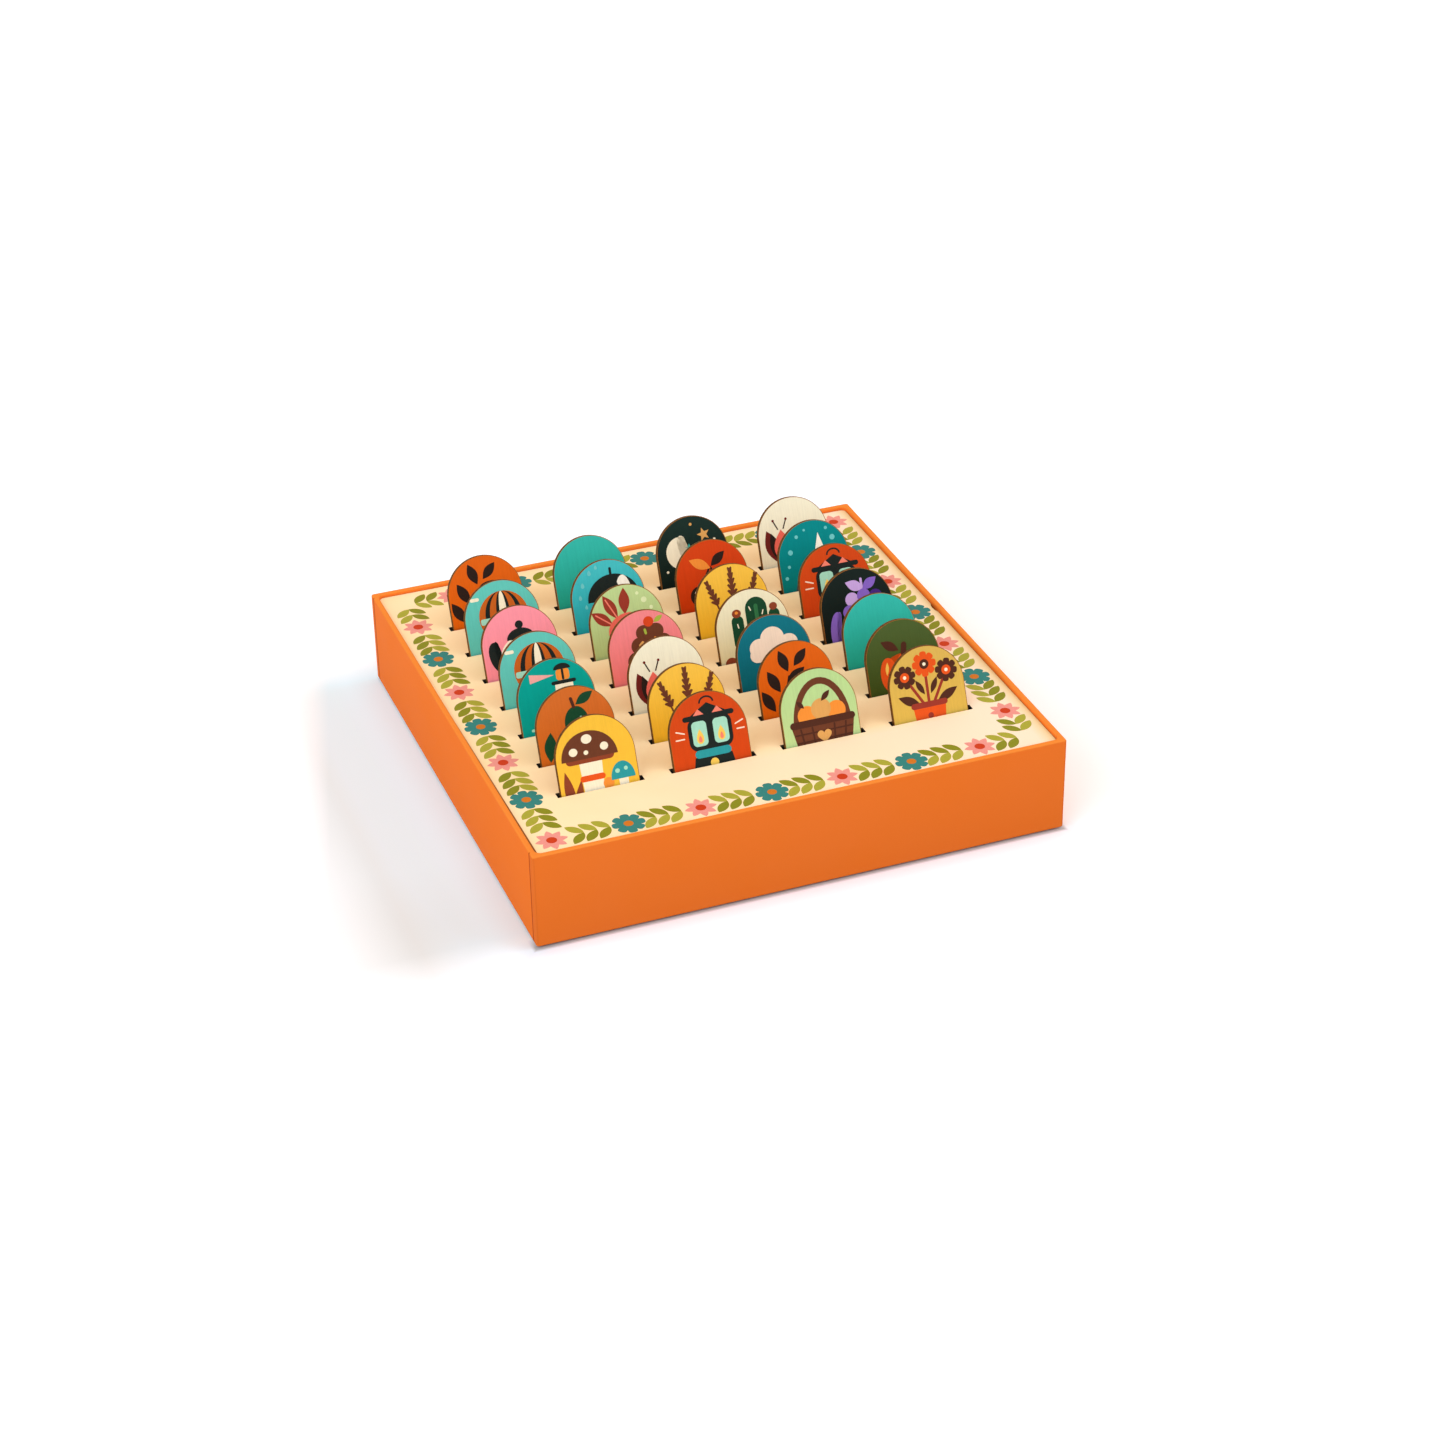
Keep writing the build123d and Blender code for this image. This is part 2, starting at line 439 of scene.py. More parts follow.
@dataclass(frozen=True)
class Foam(Finish):
    """Black closed-cell foam, die-cut: a dull charcoal with cut cells about a millimetre across.

    Attributes:
        wall: The colour of the cells' cut walls.
        cell: The colour inside them.
        cell_size: A cell's width in millimetres.
        surface: How it takes the light.
    """

    wall: str = "#1B1917"
    cell: str = "#0B0A09"
    cell_size: float = 0.9
    surface: Surface = Surface(0.9, 0.2, 0.3, 0.6)

    def paint(self, brush: Brush, place: Socket) -> None:
        """Adds the foam's nodes.

        Args:
            brush: What adds them.
            place: The point's place.
        """
        size = {"feature": "F1", "Scale": 1 / (self.cell_size * MM)}
        cells = brush.add("ShaderNodeTexVoronoi", {**size, "Vector": place})["Distance"]
        colour = brush.blend(cells, self.cell, self.wall, (0.2, 0.7))
        brush.coat(colour, self.surface, cells)


@dataclass(frozen=True)
class PrintedPly(Finish):
    """Ink printed on birch plywood: the veneer's grain shows through as fine upright lines.

    The real lines are about 0.4 mm apart and are drawn 0.8 mm apart so that they show.

    Attributes:
        top: The ink's colour at the top of the card.
        foot: The ink's colour at its foot.
        span: Where it goes from one to the other, in millimetres above the foot.
        grain: The size of the grain's lines, in millimetres.
        mottle: The size of the mottling.
        mottled: How much that adds to the grain.
        surface: How it takes the light.
    """

    coordinates: ClassVar[Coordinates] = Coordinates.OWN
    top: str
    foot: str
    span: Pair = (20.0, 50.0)
    grain: Triple = (0.8, 26.0, 0.8)
    mottle: Triple = (2.2, 4.0, 2.2)
    mottled: float = 0.35
    surface: Surface = Surface(0.5, 0.07, 0.04, 0.2)

    def paint(self, brush: Brush, place: Socket) -> None:
        """Adds the print's nodes.

        Args:
            brush: What adds them.
            place: The point's place.
        """
        up = brush.add("ShaderNodeSeparateXYZ", {"Vector": place})["Y"]
        ground = brush.fade(up, self.foot, self.top, self.span)
        grain, mottle = (brush.streaks(place, size, 3) for size in (self.grain, self.mottle))
        both = brush.add(
            "ShaderNodeMath", {"operation": "MULTIPLY_ADD", 0: mottle, 1: self.mottled, 2: grain}
        )[0]
        colour = brush.shade(ground, both, (0.45, 0.9), (0.93, 1.03))
        brush.coat(colour, self.surface, grain)


@dataclass(frozen=True)
class PaperInk(Finish):
    """Offset ink on the deck's paper: flat colour with the paper's tooth and a trace of mottling.

    Attributes:
        ink: The ink's colour.
        surface: How it takes the light.
    """

    ink: str
    surface: Surface = Surface(0.5, 0.07, 0.04, 0.2)

    def paint(self, brush: Brush, place: Socket) -> None:
        """Adds the ink's nodes.

        Args:
            brush: What adds them.
            place: The point's place.
        """
        tooth = brush.streaks(place, PAPER_TOOTH, 4)
        brush.coat(brush.shade(self.ink, tooth, (0.3, 0.7), (0.93, 1.06)), self.surface, tooth)


@dataclass(frozen=True)
class BurntEdge(Finish):
    """The laser-cut side of birch plywood: charred dark brown, with paler plies between the glue.

    Attributes:
        char: The charred colour.
        ply: The colour of the plies that the beam browned least.
        plies: How many plies the card has.
        thickness: The card's thickness in millimetres.
        blotch: The size of the char's blotches.
        surface: How it takes the light.
    """

    coordinates: ClassVar[Coordinates] = Coordinates.OWN
    char: str = "#321B03"
    ply: str = "#80500E"
    plies: int = 3
    thickness: float = 2.5
    blotch: Triple = (1.1, 1.1, 4.0)
    surface: Surface = Surface(0.75, 0.2, 0.1, 0.4)

    def paint(self, brush: Brush, place: Socket) -> None:
        """Adds the edge's nodes.

        Args:
            brush: What adds them.
            place: The point's place.
        """
        deep = brush.add("ShaderNodeSeparateXYZ", {"Vector": place})["Z"]
        pitch = self.thickness / self.plies * MM
        wave = brush.add("ShaderNodeMath", {"operation": "PINGPONG", 0: deep, 1: pitch / 2})[0]
        char = brush.streaks(place, self.blotch, 4)
        toned = brush.add(
            "ShaderNodeMath", {"operation": "MULTIPLY_ADD", 0: char, 1: pitch, 2: wave}
        )[0]
        colour = brush.blend(toned, self.char, self.ply, (pitch * 0.45, pitch * 1.15))
        brush.coat(colour, self.surface, char)


@dataclass(frozen=True)
class BareVeneer(Finish):
    """The card's unprinted back: pale sanded birch veneer with fine brown grain and slow figure.

    Attributes:
        pale: The wood's light colour.
        figure_colour: Its colour where the figure is darker.
        grain_colour: The colour of its grain lines.
        figure: The size of the figure, in millimetres.
        grain: The size of the grain's lines.
    """

    coordinates: ClassVar[Coordinates] = Coordinates.OWN
    pale: str = "#E3C79A"
    figure_colour: str = "#D6B583"
    grain_colour: str = "#C49D68"
    figure: Triple = (7.0, 60.0, 7.0)
    grain: Triple = (0.7, 24.0, 0.7)

    def paint(self, brush: Brush, place: Socket) -> None:
        """Adds the veneer's nodes.

        Args:
            brush: What adds them.
            place: The point's place.
        """
        lines = brush.streaks(place, self.grain, 4)
        base = brush.blend(brush.streaks(place, self.figure, 3), self.pale, self.figure_colour)
        colour = brush.blend(lines, self.grain_colour, base, (0.3, 0.55))
        brush.coat(colour, Surface(0.62), lines)


@dataclass(frozen=True)
class StudioFloor(Finish):
    """A plain pale studio sweep that reads white to the camera and keeps the object's shadow.

    To the left of the object a wide soft shade is painted over its real shadow, and just in front
    of it a soft shade and a narrow dark line along the front wall's foot are painted. Near the wall
    the painted shade is a little bluer, so that the light off the orange leaves it grey. Lengths
    are in millimetres.

    Attributes:
        seen: How bright red, green and blue read to the camera, where 1 is white.
        bounce: How bright it is to the light that it throws back.
        near: How bright they read in the shade near the wall.
        far: How bright they read further out in it.
        touching: What is left of them just in front of the object.
        foot: What is left of that in the narrow line along the front wall's foot.
        turn: Where near turns into far, to the left of the middle.
        lobe: What is left of both at the shade's front end.
        lobe_span: How far in front of the middle that starts, and where it is full.
        left_edge: Where the shade ends on the left.
        cut: Where it ends further back, level with the object's middle.
        taper: How much nearer to the object that is with each millimetre further back.
        under: Where it starts, below the object.
        front_edge: Where it ends in front of the middle.
        back_edge: Where it starts behind the middle.
        contact: How far from the middle the soft shade in front starts to fade and ends.
        line: The same for the narrow line.
        front: How far in front of the middle both start, and where they are full.
    """

    seen: Triple = (1.09, 1.11, 1.2)
    bounce: float = 0.43
    near: Triple = (0.83, 1.065, 1.275)
    far: Triple = (0.775, 0.845, 0.92)
    touching: Triple = (0.84, 0.84, 0.85)
    foot: Triple = (0.55, 0.5, 0.47)
    turn: Pair = (157.0, 192.0)
    lobe: Triple = (0.955, 0.92, 0.895)
    lobe_span: Pair = (50.0, 118.0)
    left_edge: Pair = (196.0, 257.0)
    cut: Pair = (205.0, 226.0)
    taper: float = 0.265
    under: Pair = (120.0, 138.0)
    front_edge: Pair = (124.0, 171.0)
    back_edge: Pair = (-168.0, -141.0)
    contact: Pair = (139.0, 152.0)
    line: Pair = (140.4, 142.4)
    front: Pair = (131.0, 140.0)

    def paint(self, brush: Brush, place: Socket) -> None:
        """Adds the floor's nodes.

        Args:
            brush: What adds them.
            place: The point's place.
        """
        x, y, _ = brush.add("ShaderNodeSeparateXYZ", {"Vector": place})
        leftward, forward = (
            brush.add("ShaderNodeMath", {"operation": "MULTIPLY", 0: v, 1: -1.0})[0] for v in (x, y)
        )
        slanted = brush.add(
            "ShaderNodeMath", {"operation": "MULTIPLY_ADD", 0: forward, 1: -self.taper, 2: leftward}
        )[0]
        across = brush.add("ShaderNodeMath", {"operation": "ABSOLUTE", 0: x})[0]
        outward = brush.add("ShaderNodeMath", {"operation": "MAXIMUM", 0: across, 1: forward})[0]
        lit = (*self.seen, 1.0)
        # Painted shade to the left of the object, over its real shadow.
        shade = brush.fade(leftward, (*self.near, 1.0), (*self.far, 1.0), self.turn)
        lobe = brush.fade(forward, WHITE, (*self.lobe, 1.0), self.lobe_span)
        mixed = {"data_type": "RGBA", "blend_type": "MULTIPLY"}
        floor = brush.add("ShaderNodeMix", {**mixed, 0: 1.0, 6: shade, 7: lobe})[2]
        floor = brush.fade(leftward, floor, lit, self.left_edge)
        floor = brush.fade(slanted, floor, lit, self.cut)
        floor = brush.fade(leftward, lit, floor, self.under)
        floor = brush.fade(forward, floor, lit, self.front_edge)
        floor = brush.fade(forward, lit, floor, self.back_edge)
        start, full = (f * MM for f in self.front)
        amount = brush.add(
            "ShaderNodeMapRange", {"From Min": start, "From Max": full, "Value": forward}
        )[0]
        # Painted soft shade and a painted dark line in front of the front wall's foot.
        for left, span in ((self.touching, self.contact), (self.foot, self.line)):
            kept = brush.fade(outward, (*left, 1.0), WHITE, span)
            floor = brush.add("ShaderNodeMix", {**mixed, 0: amount, 6: floor, 7: kept})[2]
        thrown = (self.bounce, self.bounce, self.bounce, 1.0)
        colour = brush.blend(brush.looked_at(), thrown, floor, (0.0, 1.0))
        brush.coat(colour, Surface(0.9, 0.0))


WRAP = WrapPaper("matt_laminated_wrap_paper")
GREYBOARD = Board("greyboard")
LINER = Board("uncoated_liner_paper", "#EFE7D8", "#E2D8C5", 1.6, 0.8)
KRAFT = Board("kraft_stay_tape", "#C8A275", "#AE8758", 2.0, 0.7)
DECK = DeckPaper("cream_litho_paper")
DECK_CORE = Board("die_cut_deck_board", "#3A2C20", "#231910", 1.0, 0.85)
FOAM = Foam("black_closed_cell_foam")
EDGE = BurntEdge("laser_cut_birch_edge")
SCORCH = BurntEdge("scorched_print_margin", "#9A5F22", "#C88D48")
BACK = BareVeneer("bare_birch_veneer")

GREYBOARD_NODES = """floor_board front_wall_board back_wall_board left_wall_board right_wall_board
    foot_board front_riser back_riser left_riser right_riser left_rib right_rib""".split()
NODE_FINISHES = dict.fromkeys(GREYBOARD_NODES, GREYBOARD) | {
    "floor_liner": LINER,
    "corner_stays": KRAFT,
    "deck_print": DECK,
    "deck_board": DECK_CORE,
    "slot_block": FOAM,
}


def choose(*pieces: bpy.types.Object) -> None:
    """Goes to object mode, with some pieces alone selected and the first one active.

    Args:
        pieces: The pieces, if any.
    """
    if bpy.context.object and bpy.context.object.mode != "OBJECT":
        bpy.ops.object.mode_set(mode="OBJECT")
    bpy.ops.object.select_all(action="DESELECT")
    for piece in pieces:
        piece.select_set(True)
    if pieces:
        bpy.context.view_layer.objects.active = pieces[0]


def join(pieces: Sequence[bpy.types.Object], name: str) -> bpy.types.Object:
    """Makes one piece of several.

    Args:
        pieces: The pieces.
        name: What the one is called.

    Returns:
        The one.
    """
    choose(*pieces)
    if len(pieces) > 1:
        bpy.ops.object.join()
    pieces[0].name = name
    return pieces[0]


def thicken(depth: float) -> None:
    """Makes a solid of the sheet in edit mode.

    Args:
        depth: How far up the sheet is extruded, in metres, or down where it is negative.
    """
    bpy.ops.mesh.select_all(action="SELECT")
    bpy.ops.mesh.extrude_region_move(TRANSFORM_OT_translate={"value": (0, 0, depth)})
    bpy.ops.mesh.select_all(action="SELECT")
    bpy.ops.mesh.normals_make_consistent(inside=False)


class Element(Enum):
    """What is selected in edit mode."""

    EDGE = "EDGE"
    FACE = "FACE"

    def select(self, piece: bpy.types.Object, wanted: Callable[..., bool]) -> None:
        """Selects some edges or faces of the piece in edit mode.

        Args:
            piece: The piece.
            wanted: Called with each edge or face, true for those to select.
        """
        bpy.ops.mesh.select_mode(type=self.value)
        bpy.ops.mesh.select_all(action="DESELECT")
        form = bmesh.from_edit_mesh(piece.data)
        for element in form.faces if self is Element.FACE else form.edges:
            element.select_set(wanted(element))
        bmesh.update_edit_mesh(piece.data)


class Outline(Enum):
    """The outlines that a patch of ink can have. Each has its size as width and height."""

    DISC = "disc"
    BLOCK = "block"
    BAR = "bar"
    PILL = "pill"
    DOME = "dome"
    WEDGE = "wedge"
    TAPER = "taper"
    LEAF = "leaf"
    DROP = "drop"
    HEART = "heart"
    CRESCENT = "crescent"
    STAR = "star"
    ARCH = "arch"
    EAR = "ear"
    CAP = "cap"
    ROSETTE = "rosette"
    BURST = "burst"
    LENS = "lens"

    def points(self, wide: float, high: float) -> list[Pair]:
        """The outline's corners in order, about its middle.

        Args:
            wide: Its width.
            high: Its height.

        Returns:
            The corners, in the same unit.
        """
        round_share = {Outline.BAR: 0.28, Outline.PILL: 0.5, Outline.BLOCK: 0.03}
        turn = [2 * pi * i / 36 for i in range(36)]
        rise = [i / 12 for i in range(12)]
        half = [pi * i / 20 for i in range(21)]
        if self in round_share:
            radius = min(wide, high) * round_share[self]
            flat, tall = wide / 2 - radius, high / 2 - radius
            quarters = ((1, 1, 0), (-1, 1, 90), (-1, -1, 180), (1, -1, 270))
            steps = [(x, y, radians(start + 15 * i)) for x, y, start in quarters for i in range(7)]
            return [(x * flat + radius * cos(a), y * tall + radius * sin(a)) for x, y, a in steps]
        if self is Outline.ARCH:
            band = 0.11 * wide
            outer = [(wide / 2 * cos(a), high * sin(a)) for a in half]
            inner = [((wide / 2 - band) * cos(a), (high - band) * sin(a)) for a in half[::-1]]
            return [(x, y - high / 2) for x, y in outer + inner]
        if self is Outline.DISC:
            unit = [(cos(a) / 2, sin(a) / 2) for a in turn]
        elif self is Outline.DOME:
            unit = [(cos(a) / 2, sin(a) - 0.5) for a in half]
        elif self is Outline.WEDGE:
            unit = [(-0.5, -0.5), (0.5, -0.5), (0.0, 0.5)]
        elif self is Outline.TAPER:
            unit = [(-0.36, -0.5), (0.36, -0.5), (0.5, 0.5), (-0.5, 0.5)]
        elif self is Outline.LEAF:
            unit = [(0.5 * sin(pi * t), t - 0.5) for t in rise]
            unit += [(-0.5 * sin(pi * t), 0.5 - t) for t in rise]
        elif self is Outline.LENS:
            radius = high * high / (4 * wide) + wide / 4
            chord = [sqrt(radius**2 - ((t - 0.5) * high) ** 2) + wide / 2 - radius for t in rise]
            unit = [(x / wide, t - 0.5) for x, t in zip(chord, rise)]
            unit += [(-x / wide, 0.5 - t) for x, t in zip(chord, rise)]
        elif self is Outline.DROP:
            unit = [(0.65 * sin(a) * sin(a / 2), cos(a) / 2) for a in turn]
        elif self is Outline.HEART:
            lift = [13 * cos(a) - 5 * cos(2 * a) - 2 * cos(3 * a) - cos(4 * a) + 2.5 for a in turn]
            unit = [(sin(a) ** 3 / 2, y / 29) for a, y in zip(turn, lift)]
        elif self is Outline.CRESCENT:
            horn = cos(radians(55)) / 2
            arc = [radians(55 + 250 * i / 24) for i in range(25)]
            unit = [(cos(a) / 2, sin(a) / 2) for a in arc]
            unit += [(horn + (x - horn) * 0.42, y) for x, y in unit[-2:0:-1]]
        elif self is Outline.STAR:
            tips = [(r, radians(36 * i)) for i, r in enumerate((0.5, 0.22) * 5)]
            unit = [(r * sin(a), r * cos(a)) for r, a in tips]
        elif self is Outline.EAR:
            right = []
            for tooth in range(5):
                foot, swell = tooth / 5 - 0.5, 0.5 - 0.07 * tooth
                right += [(0.14, foot), (swell, foot + 0.2), (swell * 0.7, foot + 0.24)]
            unit = [*right, (0.0, 0.5), *[(-x, y) for x, y in reversed(right)]]
        elif self is Outline.CAP:
            unit = [(0, 0.5), (0.4, -0.3), (0.22, -0.1), (0.1, -0.5)]
            unit += [(-0.06, -0.15), (-0.2, -0.42), (-0.4, -0.3)]
        else:
            unit = self.flower()
        return [(x * wide, y * high) for x, y in unit]

    def flower(self) -> list[Pair]:
        """An eight-petalled flower head, round-petalled or pointed."""
        corners = []
        for i in range(96):
            off = abs((i % 12) - 6) / 6
            if self is Outline.ROSETTE:
                r = 0.36 + 0.14 * sin(pi / 2 * (1 - (1 - off) ** 2)) ** 0.8
            else:
                r = 0.315 + 0.185 * off
            a = radians(i * 3.75)
            corners.append((r * cos(a), r * sin(a)))
        return corners


def covers(outline: np.ndarray, points: np.ndarray) -> bool:
    """Says whether an outline goes round any of some points.

    Args:
        outline: The outline's corners, as rows of x and y.
        points: The points, likewise.

    Returns:
        True if any point is inside.
    """
    x, y = points[:, 0][:, None], points[:, 1][:, None]
    x0, y0 = outline[:, 0], outline[:, 1]
    x1, y1 = np.roll(x0, -1), np.roll(y0, -1)
    with np.errstate(divide="ignore", invalid="ignore"):
        crossing = ((y0 > y) != (y1 > y)) & (x < x0 + (y - y0) * (x1 - x0) / (y1 - y0))
    return bool((crossing.sum(1) % 2 == 1).any())


def cross(first: np.ndarray, second: np.ndarray) -> bool:
    """Says whether any edges of two outlines cross.

    Args:
        first: One outline's corners, as rows of x and y.
        second: The other's.

    Returns:
        True if any do.
    """

    def side(a: np.ndarray, b: np.ndarray, p: np.ndarray) -> np.ndarray:
        """Says which points lie on the left of the way from a to b."""
        ab, ap = b - a, p - a
        return ab[..., 0] * ap[..., 1] - ab[..., 1] * ap[..., 0] > 0

    a, b = first[:, None], np.roll(first, -1, 0)[:, None]
    c, d = second[None], np.roll(second, -1, 0)[None]
    met = (side(a, b, c) != side(a, b, d)) & (side(c, d, a) != side(c, d, b))
    return bool(met.any())


@dataclass(frozen=True)
class Mark:
    """One patch of ink of a print.

    Attributes:
        outline: Its outline.
        ink: The name of its ink.
        x: How far right of the middle its middle is, in millimetres.
        y: How far above the print's own zero line it is.
        wide: Its width.
        high: Its height.
        turn: How far it is turned to the left, in degrees.
    """

    outline: Outline
    ink: str
    x: float
    y: float
    wide: float
    high: float
    turn: float = 0.0

    @classmethod
    def read(cls, group: str) -> list["Mark"]:
        """Reads the marks of one outline and ink.

        Args:
            group: The outline and the ink, then x, y, width, height and turn of each mark, with
                commas between marks. A turn of 0 is left out, and then a height like the width.

        Returns:
            The marks.
        """
        outline, ink, places = group.split(maxsplit=2)
        marks = []
        for place in places.split(","):
            x, y, wide, *more = (float(n) for n in place.split())
            high, turn = more + [wide, 0.0][len(more) :]
            marks.append(cls(Outline(outline), ink, x, y, wide, high, turn))
        return marks

    def corners(self) -> np.ndarray:
        """The outline's corners where they are printed, as rows of x and y."""
        c, s = cos(radians(self.turn)), sin(radians(self.turn))
        turned = np.array(self.outline.points(self.wide, self.high)) @ np.array([[c, s], [-s, c]])
        return turned + (self.x, self.y)

    def overlaps(self, other: "Mark") -> bool:
        """Says whether two marks cover some of the same place.

        Args:
            other: The other mark.

        Returns:
            True if they do.
        """
        mine, theirs = self.corners(), other.corners()
        if (mine.max(0) < theirs.min(0)).any() or (theirs.max(0) < mine.min(0)).any():
            return False
        return covers(mine, theirs) or covers(theirs, mine) or cross(mine, theirs)


class Press:
    """Cuts patches of ink and lays them on a face, each above what it overlaps."""

    def __init__(self) -> None:
        """Starts with no patch cut."""
        self.blanks: dict[tuple[Outline, float, float], bpy.types.Mesh] = {}

    def blank(self, outline: Outline, wide: float, high: float) -> bpy.types.Mesh:
        """A patch a millimetre thick, modelled once for each outline and size.

        Args:
            outline: Its outline.
            wide: Its width in millimetres.
            high: Its height in millimetres.

        Returns:
            Its mesh.
        """
        key = (outline, wide, high)
        if key not in self.blanks:
            corners = outline.points(wide * MM, high * MM)
            choose()
            bpy.ops.mesh.primitive_circle_add(vertices=len(corners), radius=MM, fill_type="NGON")
            patch = bpy.context.object
            bpy.ops.object.mode_set(mode="EDIT")
            form = bmesh.from_edit_mesh(patch.data)
            form.faces.ensure_lookup_table()
            for vertex, (x, y) in zip(form.faces[0].verts, corners):
                vertex.co = (x, y, 0.0)
            bmesh.update_edit_mesh(patch.data)
            thicken(MM)
            bpy.ops.object.mode_set(mode="OBJECT")
            mesh = patch.data
            self.blanks[key] = mesh.copy()
            bpy.data.objects.remove(patch)
            bpy.data.meshes.remove(mesh)
        return self.blanks[key]

    def lay(
        self, name: str, marks: Sequence[Mark], finishes: dict[str, Finish], zero: float = 0.0
    ) -> bpy.types.Object:
        """Prints marks as one piece, face up at height 0.

        Args:
            name: The piece's name.
            marks: The marks, in the order that they are printed.
            finishes: The finish of each ink.
            zero: What is added to each mark's y, in millimetres.

        Returns:
            The piece, in its own frame.
        """
        laid: list[bpy.types.Object] = []
        films: list[tuple[Mark, int]] = []
        for mark in marks:
            film = 1 + max((below for other, below in films if mark.overlaps(other)), default=0)
            films.append((mark, film))
            top = min(film, MOST_FILMS) * INK_FILM
            mesh = self.blank(mark.outline, mark.wide, mark.high).copy()
            mesh.transform(
                Matrix.Translation((mark.x * MM, (mark.y + zero) * MM, -INK_ROOT))
                @ Matrix.Rotation(radians(mark.turn), 4, "Z")
                @ Matrix.Diagonal((1, 1, (top + INK_ROOT) / MM, 1))
            )
            mesh.materials.append(finishes[mark.ink].material())
            laid.append(bpy.data.objects.new(name, mesh))
            bpy.context.scene.collection.objects.link(laid[-1])
        return join(laid, name)


CARD_INKS = {
    "black": "#1C2422", "ink_black": "#2A1D18", "dark_brown": "#4E2A1E", "brown": "#6A3A26",
    "chestnut": "#8C4128", "rust": "#C4601F", "tan": "#DBA35C", "cream": "#F6ECD2",
    "white": "#FAF6EA", "blush": "#F3DCC8", "pink": "#F0A9A4", "salmon": "#F0826F",
    "coral": "#E9685A", "red": "#D4461F", "dark_red": "#98382B", "wine": "#6A201D",
    "red_orange": "#E2551D", "orange": "#EF9038", "deep_orange": "#B9460F", "yellow": "#F4C95A",
    "sap": "#A3B544", "green": "#16452C", "mid_green": "#2F6E44", "mint": "#A3DCC6",
    "pale_teal": "#6CC7CC", "turquoise": "#3BAA9C", "sea": "#2B97A0", "slate": "#46555A",
    "sea_deep": "#1C8B7F", "pale_green": "#DCEBB8", "lilac": "#C6A6E6", "purple": "#8463C6",
    "deep_purple": "#46267F",
}


@dataclass(frozen=True)
class Picture:
    """What is printed on a card: a ground that shades from its top to its foot, and marks.

    The marks' zero line is where the card enters the deck.

    Attributes:
        name: What it shows.
        top: The ground's colour at the card's top.
        foot: Its colour at the deck.
        drawn: The marks, as groups that Mark.read takes, with semicolons between groups.
    """

    name: str
    top: str
    foot: str
    drawn: str

    def ground(self) -> PrintedPly:
        """The finish of the card's face."""
        return PrintedPly(f"ply_ground_{self.name}", self.top, self.foot)

    def marks(self) -> list[Mark]:
        """The picture's marks."""
        return [mark for group in self.drawn.split(";") for mark in Mark.read(group)]


